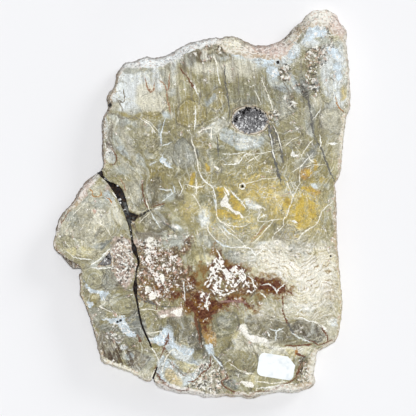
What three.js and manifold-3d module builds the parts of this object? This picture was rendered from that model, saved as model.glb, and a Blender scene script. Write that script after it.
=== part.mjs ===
// Petrified wood slice: a sawn slab of agatised trunk, polished on one face, lying on its sawn back.
// The slab is one stone. A natural fracture runs down its left side, open for most of its length and
// healed with chalcedony near the foot. Two hollows are lined with quartz points, and a small blank
// paper label is stuck to the polished face.
//
// Units are millimetres. X runs across the slab, Y up its length, and Z out of the polished face.
// The origin is the middle of the sawn back, which is the face that it rests on.

import * as THREE from "three";
import { mergeVertices } from "three/addons/utils/BufferGeometryUtils.js";
import Module from "manifold-3d";

const wasm = await Module();
wasm.setup();

// ---- Driving dimensions ---------------------------------------------------------------------------

const THICKNESS = 16;
const GIRDLE_Z = 8; // height of the slab's widest outline
const RIM_POINTS = 310; // points along each ring of the rim
const SAW_CHAMFER = 1.2; // how far the sawn back is set in from the widest outline
const LUMP = 1.5; // depth of the rim's lumps and hollows
const FIT_GAP = 0.3; // clearance between a crystal crust and its hollow

const FRACTURE_DEPTH = 10.5; // from the polished face
const FRACTURE_BACK_DEPTH = 3; // from the sawn back

const VUG = { x: 32.2, y: 56, across: 12.9, along: 9.8, depth: 7.4, turn: -0.1 };
const SIDE_VUG_DEPTH = 4;
const CRUST_WALL = 1.6;
const CRUST_TOP_DROP = 1.2; // from the polished face down to the top of the round hollow's crust
const VUG_POINTS = 52; // quartz points in the round hollow
const SIDE_VUG_POINTS = 14;

const LABEL = { x: 49.6, y: -108.2, width: 24.5, height: 15.6, corner: 3.6, turn: -0.16, paper: 0.15, lift: 0.02 };
const LABEL_TEAR = { across: 5.6, down: 5 }; // the corner that is torn off

// ---- Outline --------------------------------------------------------------------------------------

// Points round the slab's widest outline, anticlockwise from the top of the horn. The third number is
// how wide the rough slope is between that outline and the edge of the polished face.
const OUTLINE = [
  [81, 130.4, 8], [77, 130.1, 7.5], [73, 128.8, 6.5], [69.5, 126.2, 6], [67.2, 122.6, 5.5], [63.5, 119.6, 6],
  [59.5, 116, 6], [56.5, 112.6, 6], [52, 109.3, 7], [46, 107, 7.5], [40.5, 106.2, 7.5], [35, 106.5, 7],
  [31, 108.2, 7], [26.5, 110.6, 7.5], [22.5, 112.2, 7.5], [15.5, 112.3, 6.5], [12.6, 111, 5], [8.5, 111.8, 5],
  [1.5, 110.3, 4.5], [-6.5, 108.4, 4.5], [-12.5, 106.1, 5.5], [-18, 102.8, 6], [-22, 100.7, 5.5], [-28, 98.3, 6],
  [-32.5, 98, 6], [-36.5, 99.2, 6.5], [-40, 98, 5.5], [-45, 95.6, 4.5], [-51.3, 95, 3.5], [-54.2, 91.6, 2.8],
  [-56.9, 87.6, 2.2], [-57.8, 82.2, 1.8], [-59.2, 78.6, 2.2], [-62.6, 74.4, 2.6], [-64.2, 70.4, 2.8],
  [-63.2, 66.6, 2.6], [-63.6, 62.4, 2], [-66.2, 58, 1.6], [-67, 54, 1.6], [-66.8, 46, 1.6], [-67.1, 39, 1.5],
  [-66.7, 32, 1.4], [-66.2, 25.2, 1], [-69.4, 21.8, 1.6], [-73.4, 18.4, 2.6], [-78.2, 14.9, 2.6],
  [-80.4, 11.6, 2.4], [-83.8, 7, 2.4], [-85.3, 2.8, 2.4], [-88.6, -0.8, 2], [-92.6, -4.8, 1.2], [-95.6, -10.2, 1],
  [-97.4, -16, 1], [-98.4, -21.4, 0.8], [-99.5, -26, 0.8], [-98.3, -31, 1], [-94, -34.2, 1], [-91.6, -37.2, 1.2],
  [-89.2, -41, 1.2], [-86, -43, 1.2], [-81.2, -42.9, 1], [-80.3, -44.6, 0.8], [-82.1, -47.6, 1], [-81.4, -54.4, 1],
  [-81.9, -59.4, 1], [-79.6, -65, 1], [-77.2, -70.4, 1], [-74.4, -78.6, 1], [-72.4, -86.4, 1.2], [-70, -94.6, 1.2],
  [-68.6, -101, 1.6], [-66.4, -105.9, 1.8], [-59, -108.7, 1.6], [-50.6, -111.9, 1.6], [-43.6, -115, 1.6],
  [-38.6, -118.3, 1.8], [-34.6, -118.7, 1.2], [-33, -117, 0.8], [-31.2, -119.8, 1.6], [-28, -123, 3],
  [-22, -124.9, 3], [-16, -126.4, 3], [-6.6, -127.4, 3], [-2.2, -128.2, 3], [2.4, -129.7, 3], [6.6, -129.1, 2.6],
  [9.8, -129.8, 2.4], [15, -128.4, 2.2], [21, -129, 2], [26, -128.8, 1.8], [30.6, -130.2, 2], [35.4, -129.6, 2.2],
  [40, -128, 2.4], [46.4, -126.7, 2.4], [54, -126, 2.4], [61.6, -126.4, 2.6], [68, -124.7, 2.4], [74, -122.4, 2.2],
  [75.7, -119.4, 1.8], [75.2, -113.6, 1.4], [76.6, -105, 1.4], [77.4, -98.9, 1.2], [81.6, -96.8, 1.6],
  [87.4, -93.6, 1.6], [90.8, -90, 1.4], [92.3, -83.4, 1.2], [93.8, -72, 1.1], [94, -64.6, 1], [93, -53, 1],
  [91.8, -39, 1], [90.6, -23, 1], [90.1, -8, 1], [89.7, 8, 1], [88.9, 13.4, 0.9], [91.8, 17.4, 0.9],
  [93, 23.4, 1], [94, 34.6, 1], [95.2, 46.6, 1.2], [96.9, 58, 1.4], [99, 65, 1.6], [99.6, 72, 1.6],
  [99, 82, 1.6], [98.2, 93, 1.6], [97.4, 101.6, 1.8], [96.6, 109.6, 2], [97, 114.8, 2.6], [95.6, 118.8, 5],
  [92.6, 121, 7], [90.9, 125, 8], [87.6, 128.4, 8],
];

// Middle line of the open fracture with its half width at each point, from the notch in the left edge
// down to where it heals, then of the short open stretch at the foot, then the outline of the pocket
// that opens off it.
const FRACTURE_CENTRE = [
  [-69.4, 23.6, 1.7], [-67.6, 21, 1.5], [-66.3, 18.4, 0.8], [-64.2, 16.4, 0.5], [-62, 14.2, 0.9],
  [-58.2, 11.4, 2.4], [-55.4, 8, 2.9], [-53.6, 4, 2.7], [-52, 0, 2.1], [-50.6, -4, 1.9], [-49.8, -8, 1.3],
  [-48.8, -12, 1], [-47.6, -16, 0.8], [-46.9, -21, 0.7], [-46.2, -26, 0.8], [-44.9, -30, 1.9], [-44.2, -33, 1],
  [-42.6, -36, 0.8], [-42.1, -39.4, 0.7], [-43.6, -43.6, 0.5], [-44, -49, 0.5], [-44.4, -55, 1.5],
  [-44.1, -60, 0.9], [-43, -66, 0.6], [-41.6, -74, 0.6], [-40, -80.6, 0.6], [-37.4, -87, 0.6], [-35, -92, 0.5],
  [-33.6, -95.6, 0.4],
];
const FRACTURE_FOOT = [[-29.8, -108.6, 0.4], [-31, -112, 0.5], [-32.3, -115.4, 0.6], [-33.2, -119.6, 0.9]];
const FRACTURE_POCKET = [[-50, -4.6], [-42.4, -7.4], [-44.6, -11.4], [-48.6, -13.6]];

// Corners of the three-sided hollow beside the fracture, and of the ledge where the lower bed of the
// stone stands out past the polished bed.
const SIDE_VUG = [[-69.6, -40.6], [-65.4, -36.4], [-61.4, -31.6], [-59.9, -35.6], [-60.3, -40.2], [-64.8, -41.3]];
const LEDGE = [[-96, -32.2], [-92.6, -34.6], [-87.4, -37.8], [-81, -41.6], [-80, -47], [-96, -47]];
const LEDGE_Z = 10.4;

// Pits in the polished face: middle, radius and depth.
const PITS = [
  [50.6, 94.6, 1.1, 2], [-61.4, 66, 1.5, 2.4], [26.9, 11.8, 0.8, 1.4], [-56.4, -78.6, 0.7, 1], [-54.1, -77.7, 0.7, 1],
  [85.8, -34.6, 0.6, 0.8],
];

// ---- Small tools ----------------------------------------------------------------------------------

// Repeatable scatter between 0 and 1 for a whole number.
const scatter = (n) => {
  const s = Math.sin(n * 127.1 + 11.7) * 43758.5453;
  return s - Math.floor(s);
};

// A closed geometry as a manifold-3d solid.
function solid(geometry) {
  const bare = geometry.clone();
  bare.deleteAttribute("normal");
  bare.deleteAttribute("uv");
  const merged = mergeVertices(bare, 1e-4);
  return new wasm.Manifold(
    new wasm.Mesh({
      numProp: 3,
      vertProperties: new Float32Array(merged.attributes.position.array),
      triVerts: new Uint32Array(merged.index.array),
    }),
  );
}

// A manifold-3d solid as a named three.js mesh.
function meshOf(name, made, material) {
  const { vertProperties, triVerts } = made.getMesh();
  const geometry = new THREE.BufferGeometry();
  geometry.setAttribute("position", new THREE.BufferAttribute(vertProperties, 3));
  geometry.setIndex(new THREE.BufferAttribute(triVerts, 1));
  geometry.computeVertexNormals();
  const mesh = new THREE.Mesh(geometry, material);
  mesh.name = name;
  return mesh;
}

// A plan shape extruded from one height to another.
function prism(points, low, high) {
  const shape = new THREE.Shape(points.map(([x, y]) => new THREE.Vector2(x, y)));
  const geometry = new THREE.ExtrudeGeometry(shape, { depth: high - low, bevelEnabled: false });
  geometry.translate(0, 0, low);
  return solid(geometry);
}

// ---- Slab -----------------------------------------------------------------------------------------

// The widest outline as evenly spaced points with their inward normals, slope widths and distance along.
function rimStations() {
  const curve = new THREE.CatmullRomCurve3(
    OUTLINE.map(([x, y, slope]) => new THREE.Vector3(x, y, slope)), true, "centripetal",
  );
  const points = curve.getSpacedPoints(RIM_POINTS).slice(0, RIM_POINTS);
  const at = (i) => points[(i + RIM_POINTS) % RIM_POINTS];
  const reach = 2; // neighbours that smooth each normal, so that slopes don't cross at small corners
  let along = 0;
  return points.map((p, i) => {
    along += i ? Math.hypot(p.x - at(i - 1).x, p.y - at(i - 1).y) : 0;
    const dx = at(i + reach).x - at(i - reach).x;
    const dy = at(i + reach).y - at(i - reach).y;
    const length = Math.hypot(dx, dy);
    return { x: p.x, y: p.y, slope: Math.max(0.6, p.z), inX: -dy / length, inY: dx / length, along };
  });
}

// Lumps of the natural rim, from 0 to 1, at a distance along the rim and a height.
function lumpAt(along, z) {
  const coarse = Math.sin(along * 0.21 + z * 0.16) + Math.sin(along * 0.47 - z * 0.31 + 1.3);
  const fine = Math.sin(along * 1.03 + z * 0.55 + 2.1);
  return 0.5 + (coarse * 0.7 + fine * 0.6) / 4;
}

// How far in from the widest outline the surface lies at a height.
function insetAt(station, z) {
  const above = Math.max(0, (z - GIRDLE_Z) / (THICKNESS - GIRDLE_Z));
  const below = Math.max(0, (GIRDLE_Z - z) / GIRDLE_Z);
  const away = Math.sin(Math.PI * Math.min(1, above + below)); // no lumps at the girdle or the faces
  return station.slope * above ** 1.5 + SAW_CHAMFER * below ** 3 + LUMP * lumpAt(station.along, z) * away;
}

function slabBlank() {
  const stations = rimStations();
  const heights = [0, 1, 4.4, GIRDLE_Z, 10.6, 13, 15, THICKNESS];
  const rings = heights.map((z) =>
    stations.map((s) => {
      const inset = insetAt(s, z);
      return new THREE.Vector3(s.x + s.inX * inset, s.y + s.inY * inset, z);
    }),
  );
  const positions = rings.flat().flatMap((p) => [p.x, p.y, p.z]);
  const index = [];
  for (let level = 0; level < rings.length - 1; level++)
    for (let i = 0; i < RIM_POINTS; i++) {
      const [a, b] = [level * RIM_POINTS + i, level * RIM_POINTS + ((i + 1) % RIM_POINTS)];
      index.push(a, b, b + RIM_POINTS, a, b + RIM_POINTS, a + RIM_POINTS);
    }
  const cap = (level, up) => {
    const flat = rings[level].map((p) => new THREE.Vector2(p.x, p.y));
    for (const [a, b, c] of THREE.ShapeUtils.triangulateShape(flat, [])) {
      const start = level * RIM_POINTS;
      index.push(start + a, start + (up ? b : c), start + (up ? c : b));
    }
  };
  cap(0, false);
  cap(rings.length - 1, true);
  const geometry = new THREE.BufferGeometry();
  geometry.setAttribute("position", new THREE.Float32BufferAttribute(positions, 3));
  geometry.setIndex(index);
  return solid(geometry);
}

// Plan shape of a crack that follows a centre line with a half width at each point.
function crackPlan(centre) {
  const curve = new THREE.CatmullRomCurve3(centre.map((p) => new THREE.Vector3(...p)), false, "centripetal");
  const points = curve.getSpacedPoints(Math.round(curve.getLength() / 3));
  const bank = (side) =>
    points.map((p, i) => {
      const before = points[Math.max(0, i - 1)];
      const after = points[Math.min(points.length - 1, i + 1)];
      const length = Math.hypot(after.x - before.x, after.y - before.y);
      const half = Math.max(0.3, p.z) * side;
      return [p.x - ((after.y - before.y) / length) * half, p.y + ((after.x - before.x) / length) * half];
    });
  return [...bank(1), ...bank(-1).reverse()];
}

// An egg-shaped hollow whose mouth is level with the polished face, grown or shrunk by an amount.
function vugBall(grow) {
  const ball = new THREE.SphereGeometry(1, 30, 14);
  ball.scale(VUG.across + grow, VUG.along + grow, VUG.depth + grow);
  ball.rotateZ(VUG.turn);
  ball.translate(VUG.x, VUG.y, THICKNESS);
  return solid(ball);
}

function slab() {
  const over = THICKNESS + 1;
  const cuts = [
    prism(crackPlan(FRACTURE_CENTRE), THICKNESS - FRACTURE_DEPTH, over),
    prism(crackPlan(FRACTURE_FOOT), THICKNESS - FRACTURE_DEPTH, over),
    prism(crackPlan(FRACTURE_CENTRE), -1, FRACTURE_BACK_DEPTH),
    prism(FRACTURE_POCKET, THICKNESS - 4, over),
    prism(SIDE_VUG, THICKNESS - SIDE_VUG_DEPTH, over),
    prism(LEDGE, LEDGE_Z, over),
    vugBall(0),
    ...PITS.map(([x, y, radius, depth]) => {
      const pit = new THREE.SphereGeometry(1, 10, 6);
      pit.scale(radius, radius, depth);
      pit.translate(x, y, THICKNESS);
      return solid(pit);
    }),
  ];
  return cuts.reduce((stone, cut) => stone.subtract(cut), slabBlank());
}

// ---- Quartz crusts --------------------------------------------------------------------------------

// One six-sided quartz point that stands at a place and leans along a direction.
function quartzPoint(place, lean, radius, height) {
  const point = new THREE.ConeGeometry(radius, height, 6);
  point.translate(0, height / 2 - radius * 0.6, 0);
  point.applyQuaternion(new THREE.Quaternion().setFromUnitVectors(new THREE.Vector3(0, 1, 0), lean));
  point.translate(place.x, place.y, place.z);
  return solid(point);
}

// The crust in the round hollow: a bowl with quartz points on its inner wall, grown on a spiral.
function vugCrust() {
  const outer = vugBall(-FIT_GAP);
  const [reach, below] = [2 * VUG.across, THICKNESS - CRUST_TOP_DROP];
  const room = prism(
    [[-reach, -reach], [reach, -reach], [reach, reach], [-reach, reach]].map(([x, y]) => [VUG.x + x, VUG.y + y]),
    0, below,
  );
  const rootInset = CRUST_WALL + 0.1; // the points' roots sit just inside the bowl's wall
  const points = Array.from({ length: VUG_POINTS }, (_, i) => {
    const ring = Math.sqrt((i + 0.5) / VUG_POINTS) * 0.94;
    const turn = i * Math.PI * (3 - Math.sqrt(5));
    const x = Math.cos(turn) * ring * (VUG.across - rootInset);
    const y = Math.sin(turn) * ring * (VUG.along - rootInset);
    const z = -Math.sqrt(1 - ring * ring) * (VUG.depth - rootInset);
    const lean = new THREE.Vector3(-x / VUG.across ** 2, -y / VUG.along ** 2, -z / VUG.depth ** 2).normalize();
    lean.x += (scatter(i) - 0.5) * 0.7;
    lean.y += (scatter(i + 0.5) - 0.5) * 0.7;
    const radius = 0.85 + 0.7 * scatter(i + 0.25);
    return quartzPoint(
      new THREE.Vector3(VUG.x + x, VUG.y + y, THICKNESS + z), lean.normalize(), radius, radius * 2.1,
    );
  });
  const bowl = outer.subtract(vugBall(-CRUST_WALL));
  return wasm.Manifold.union([bowl, ...points]).intersect(outer).intersect(room);
}

// The crust on the floor of the three-sided hollow: a plate with quartz points standing on it.
function sideCrust() {
  const middle = [0, 1].map((axis) => SIDE_VUG.reduce((sum, corner) => sum + corner[axis], 0) / SIDE_VUG.length);
  const inset = 0.88; // the plate's outline, as a share of the hollow's
  const outline = SIDE_VUG.map(([x, y]) => [
    middle[0] + (x - middle[0]) * inset, middle[1] + (y - middle[1]) * inset,
  ]);
  const floor = THICKNESS - SIDE_VUG_DEPTH + FIT_GAP;
  const points = Array.from({ length: SIDE_VUG_POINTS }, (_, i) => {
    const spread = Math.sqrt((i + 0.5) / SIDE_VUG_POINTS) * 3.1;
    const turn = i * Math.PI * (3 - Math.sqrt(5));
    const lean = new THREE.Vector3((scatter(i + 40) - 0.5) * 0.8, (scatter(i + 60) - 0.5) * 0.8, 1).normalize();
    const place = new THREE.Vector3(
      middle[0] + 0.6 + Math.cos(turn) * spread, middle[1] - 0.6 + Math.sin(turn) * spread, floor + 1,
    );
    return quartzPoint(place, lean, 0.8 + 0.4 * scatter(i + 80), 2);
  });
  const plate = prism(outline, floor, floor + 1.2);
  const room = prism(outline, floor, THICKNESS - 0.4);
  return wasm.Manifold.union([plate, ...points]).intersect(room);
}

// ---- Paper label ----------------------------------------------------------------------------------

function label() {
  const { width: w, height: h, corner: r } = LABEL;
  const shape = new THREE.Shape();
  shape.moveTo(-w / 2 + r, -h / 2);
  shape.lineTo(w / 2 - r, -h / 2);
  shape.absarc(w / 2 - r, -h / 2 + r, r, -Math.PI / 2, 0);
  shape.lineTo(w / 2, h / 2 - LABEL_TEAR.down);
  shape.lineTo(w / 2 - LABEL_TEAR.across, h / 2);
  shape.lineTo(-w / 2 + r, h / 2);
  shape.absarc(-w / 2 + r, h / 2 - r, r, Math.PI / 2, Math.PI);
  shape.lineTo(-w / 2, -h / 2 + r);
  shape.absarc(-w / 2 + r, -h / 2 + r, r, Math.PI, Math.PI * 1.5);
  const geometry = new THREE.ExtrudeGeometry(shape, { depth: LABEL.paper, bevelEnabled: false, curveSegments: 6 });
  geometry.rotateZ(LABEL.turn);
  geometry.translate(LABEL.x, LABEL.y, THICKNESS + LABEL.lift);
  return solid(geometry);
}

// ---- Assembly -------------------------------------------------------------------------------------

const stone = new THREE.MeshStandardMaterial({ color: 0xafa888, roughness: 0.3, metalness: 0 });
const quartz = new THREE.MeshStandardMaterial({ color: 0x77777a, roughness: 0.25, metalness: 0 });
const paper = new THREE.MeshStandardMaterial({ color: 0xeef3f3, roughness: 0.8, metalness: 0 });

const slice = new THREE.Group();
slice.add(meshOf("slab", slab(), stone));
slice.add(meshOf("round_hollow_quartz", vugCrust(), quartz));
slice.add(meshOf("side_hollow_quartz", sideCrust(), quartz));
slice.add(meshOf("paper_label", label(), paper));

// The outline's box is centred on the origin.
const box = new THREE.Box3().setFromObject(slice);
slice.position.set(-(box.min.x + box.max.x) / 2, -(box.min.y + box.max.y) / 2, 0);

export default slice;
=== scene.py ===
import math
import random

import bmesh
import bpy
import numpy as np
from mathutils import Matrix, Vector, noise
from mathutils.kdtree import KDTree


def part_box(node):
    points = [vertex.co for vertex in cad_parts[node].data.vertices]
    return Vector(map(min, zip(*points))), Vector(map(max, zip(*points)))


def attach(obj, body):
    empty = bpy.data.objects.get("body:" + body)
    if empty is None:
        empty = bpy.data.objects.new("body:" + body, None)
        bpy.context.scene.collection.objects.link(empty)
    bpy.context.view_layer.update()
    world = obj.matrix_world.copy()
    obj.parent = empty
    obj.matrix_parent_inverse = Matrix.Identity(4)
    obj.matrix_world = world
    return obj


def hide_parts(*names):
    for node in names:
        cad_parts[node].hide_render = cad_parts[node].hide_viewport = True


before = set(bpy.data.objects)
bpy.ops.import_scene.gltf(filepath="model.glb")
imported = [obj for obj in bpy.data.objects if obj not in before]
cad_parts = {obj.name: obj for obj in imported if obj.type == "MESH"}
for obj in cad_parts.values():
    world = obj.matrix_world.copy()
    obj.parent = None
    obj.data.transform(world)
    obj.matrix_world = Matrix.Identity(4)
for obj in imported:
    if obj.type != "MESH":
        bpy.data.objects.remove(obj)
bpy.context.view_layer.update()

MM = 0.001


# ---- Stage -------------------------------------------------------------------
# A pale floor, soft lights and the camera that looks straight down on the polished face. None of it is
# part of the object. The main light comes low from the upper right, so the shadow falls lower left.

face_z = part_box("slab")[1].z

bpy.context.scene.view_settings.view_transform = "Standard"

camera_height = 2.2
view_width = 0.27733  # of the polished face that the camera sees
view_middle = (4.0 * MM, -2.67 * MM)
camera = bpy.data.objects.new("camera", bpy.data.cameras.new("camera"))
camera.data.sensor_width = 36
camera.data.lens = camera.data.sensor_width * camera_height / view_width
camera.data.clip_end = 5
camera.location = (*view_middle, face_z + camera_height)
bpy.context.scene.collection.objects.link(camera)
bpy.context.scene.camera = camera


def finished(bm, name):
    """Turns what was modelled into an object of that name, and puts it in the scene."""
    mesh = bpy.data.meshes.new(name)
    bm.to_mesh(mesh)
    bm.free()
    made = bpy.data.objects.new(name, mesh)
    bpy.context.scene.collection.objects.link(made)
    return made


floor_half_width = 1.6
bm = bmesh.new()
bmesh.ops.create_grid(bm, x_segments=1, y_segments=1, size=floor_half_width)
floor = finished(bm, "floor")

floor_material = bpy.data.materials.new("floor_paper")
floor_material.use_nodes = True
floor_shader = floor_material.node_tree.nodes["Principled BSDF"]
floor_shader.inputs["Base Color"].default_value = (0.851, 0.853, 0.87, 1)
floor_shader.inputs["Roughness"].default_value = 0.9
floor_shader.inputs["Specular IOR Level"].default_value = 0.1
floor.data.materials.append(floor_material)

world = bpy.data.worlds.new("studio")
world.use_nodes = True
world.node_tree.nodes["Background"].inputs["Color"].default_value = (0.97, 0.985, 1, 1)
world.node_tree.nodes["Background"].inputs["Strength"].default_value = 0.2
bpy.context.scene.world = world

# The direction each light comes from, how wide it looks in degrees, its strength, and whether the
# polish may mirror it.
for name, towards, width, strength, mirrored in [
    ("overhead", (0.03, 0.08, 1), 7, 2.15, False),
    ("key", (0.75, 0.62, 0.42), 24, 1.05, False),
    ("gleam", (-0.2, 1, 0.8), 40, 0.3, True),
    ("low fill", (0.15, -1, 0.04), 30, 1, False),
]:
    light = bpy.data.objects.new(name, bpy.data.lights.new(name, "SUN"))
    light.data.angle = math.radians(width)
    light.data.energy = strength
    light.rotation_euler = Vector(towards).to_track_quat("Z", "Y").to_euler()
    light.visible_glossy = mirrored
    bpy.context.scene.collection.objects.link(light)


# ---- Slab: its shape ---------------------------------------------------------
# One stone, sawn from a petrified trunk and polished on its upper face, with the trunk's own rough
# rind left as its rim. It keeps the frame's shape, with its faces cut finely enough to carry the
# pattern and its rim roughened as broken agate is.

# How finely each flat face is cut, and how near two corners are that count as one.
POLISHED_CELL = 0.86 * MM
SAWN_CELL = 2.0 * MM
HAIR = 1e-6


def cut_across(bm, faces, axis, places):
    """Cuts faces by planes across one axis, at places listed in order, and gives all the parts."""
    if not places or not faces:
        return faces
    half = len(places) // 2
    direction = Vector((axis == 0, axis == 1, axis == 2))
    edges = {edge for face in faces for edge in face.edges}
    corners = {vert for face in faces for vert in face.verts}
    cut = bmesh.ops.bisect_plane(
        bm, geom=[*faces, *edges, *corners], dist=HAIR / 10,
        plane_co=direction * places[half], plane_no=direction,
    )
    parts = [part for part in cut["geom"] if isinstance(part, bmesh.types.BMFace)]
    low = [face for face in parts if face.calc_center_median()[axis] < places[half]]
    high = [face for face in parts if face.calc_center_median()[axis] >= places[half]]
    return cut_across(bm, low, axis, places[:half]) + cut_across(bm, high, axis, places[half + 1 :])


def steps(low, high, cell):
    """Evenly spaced places between two ends, none of them on an end."""
    count = max(1, round((high - low) / cell))
    return [low + (high - low) * i / count for i in range(1, count)]


bm = bmesh.new()
bm.from_mesh(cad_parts["slab"].data)
bmesh.ops.remove_doubles(bm, verts=bm.verts[:], dist=HAIR)


def on_plane(face, z):
    return all(abs(vert.co.z - z) < HAIR for vert in face.verts)


def is_flat(face):
    """Whether a face is part of the polished face or of the sawn back."""
    return on_plane(face, face_z) or on_plane(face, 0.0)


# The two flat faces are first made plain, then the rim is cut finer, then each flat face is cut into cells.
for z in (face_z, 0.0):
    flat = {face for face in bm.faces if on_plane(face, z)}
    inner = [edge for edge in bm.edges if len(edge.link_faces) == 2 and set(edge.link_faces) <= flat]
    inner_verts = list({vert for edge in inner for vert in edge.verts})
    bmesh.ops.dissolve_limit(bm, angle_limit=0.02, verts=inner_verts, edges=inner, delimit=set())

rim_edges = list({edge for face in bm.faces if not is_flat(face) for edge in face.edges})
bmesh.ops.subdivide_edges(bm, edges=rim_edges, cuts=2, use_grid_fill=True)

slab_low, slab_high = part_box("slab")
for z, cell in ((face_z, POLISHED_CELL), (0.0, SAWN_CELL)):
    flat = [face for face in bm.faces if on_plane(face, z)]
    for axis in (0, 1):
        flat = cut_across(bm, flat, axis, steps(slab_low[axis], slab_high[axis], cell))

# The open fracture's middle line, with its half width at each point, and its foot, in millimetres.
FRACTURE = [
    (-69.4, 23.6, 1.7), (-67.6, 21, 1.5), (-66.3, 18.4, 0.8), (-64.2, 16.4, 0.5), (-62, 14.2, 0.9),
    (-58.2, 11.4, 2.4), (-55.4, 8, 2.9), (-53.6, 4, 2.7), (-52, 0, 2.1), (-50.6, -4, 1.9), (-49.8, -8, 1.3),
    (-48.8, -12, 1), (-47.6, -16, 0.8), (-46.9, -21, 0.7), (-46.2, -26, 0.8), (-44.9, -30, 1.9),
    (-44.2, -33, 1), (-42.6, -36, 0.8), (-42.1, -39.4, 0.7), (-43.6, -43.6, 0.5), (-44, -49, 0.5),
    (-44.4, -55, 1.5), (-44.1, -60, 0.9), (-43, -66, 0.6), (-41.6, -74, 0.6), (-40, -80.6, 0.6),
    (-37.4, -87, 0.6), (-35, -92, 0.5), (-33.6, -95.6, 0.4),
]
FRACTURE_POCKET = [(-49, -6, 1.6), (-46, -8.4, 2.2), (-43, -8.2, 1.2)]
FRACTURE_FOOT = [(-29.8, -108.6, 0.4), (-31, -112, 0.5), (-32.3, -115.4, 0.6), (-33.2, -119.6, 0.9)]

# The rim is rough with lumps and grit, up to the depth of a chip. They stay inside the frame's box, and
# are small on the fracture's walls and along the sharp edges of the flat faces.
CHIP = 0.75 * MM
LUMP_LENGTH, GRIT_LENGTH = 3.1, 1.3  # millimetres
WALL_REACH = 3.6  # millimetres from the fracture's middle line to either wall
NOTCH_X = -66  # left of this the fracture opens into the rim
WALL_SHARE, EDGE_SHARE = 0.3, 0.4
fracture_tree = KDTree(len(FRACTURE) + len(FRACTURE_FOOT))
for i, (x, y, _) in enumerate(FRACTURE + FRACTURE_FOOT):
    fracture_tree.insert((x, y, 0), i)
fracture_tree.balance()
bm.normal_update()
flat_verts = {vert for face in bm.faces if is_flat(face) for vert in face.verts}
inner_walls = set()
for low, high in (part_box("round_hollow_quartz"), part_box("side_hollow_quartz")):
    inner_walls |= {v for v in bm.verts if all(low[i] - MM < v.co[i] < high[i] + MM for i in (0, 1))}
for vert in bm.verts:
    inside_flat = vert in flat_verts and all(is_flat(face) for face in vert.link_faces)
    if inside_flat or vert in inner_walls:
        continue
    place = vert.co / MM
    lumps = noise.noise(place / LUMP_LENGTH)
    grit = noise.noise(place / GRIT_LENGTH + Vector((7, 3, 1)))
    depth = CHIP * (0.7 * lumps + 0.55 * grit + 0.1)
    if fracture_tree.find((place.x, place.y, 0))[2] < WALL_REACH and place.x > NOTCH_X:
        depth *= WALL_SHARE
    inward = -vert.normal
    if vert in flat_verts:
        inward.z = 0
        depth *= EDGE_SHARE
    vert.co += inward * depth
    vert.co = [min(max(vert.co[i], slab_low[i]), slab_high[i]) for i in range(3)]
for edge in bm.edges:
    edge.smooth = sum(is_flat(face) for face in edge.link_faces) != 1
for face in bm.faces:
    face.smooth = True
bmesh.ops.triangulate(bm, faces=[face for face in bm.faces if len(face.verts) > 4])

slab = finished(bm, "petrified_wood")
slab_mesh = slab.data
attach(slab, "root")
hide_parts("slab")


# ---- Slab: its pattern -------------------------------------------------------
# The wood's cells were filled by chalcedony, opal and iron oxides in turn, so the colour runs in soft
# clouds, in islands with crisp banks, and in veins where cracks healed. Each is laid down here as a
# field on the mesh: a soft ground colour, and distances to banks and to the middle lines of veins.

# Display colours, from 0 to 255.
MINERALS = {
    "frost": (235, 240, 241), "ice": (226, 238, 246), "mist": (198, 206, 207), "fog": (200, 204, 197),
    "bone": (226, 223, 207), "ivory": (242, 240, 229), "cream": (232, 228, 206), "straw": (216, 208, 168),
    "pearl": (202, 199, 182), "sage": (184, 180, 150), "ash": (172, 173, 163), "moss": (150, 148, 124),
    "steel": (137, 140, 136), "smoke": (152, 145, 133), "drab": (134, 128, 108), "char": (103, 100, 94),
    "olive": (163, 156, 120), "khaki": (168, 156, 106), "ochre": (196, 177, 110), "gold": (206, 184, 100),
    "honey": (216, 199, 140), "amber": (198, 160, 96), "tan": (190, 172, 142), "pink": (217, 199, 190),
    "slate blue": (150, 152, 148), "umber": (118, 99, 80), "web white": (249, 246, 241),
    "sand": (222, 204, 160), "rust": (130, 92, 70),
}


def linear(colour):
    """A display colour from 0 to 255, as the light it stands for."""
    return [(c / 255 / 12.92) if c < 10.3 else ((c / 255 + 0.055) / 1.055) ** 2.4 for c in colour]


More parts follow.
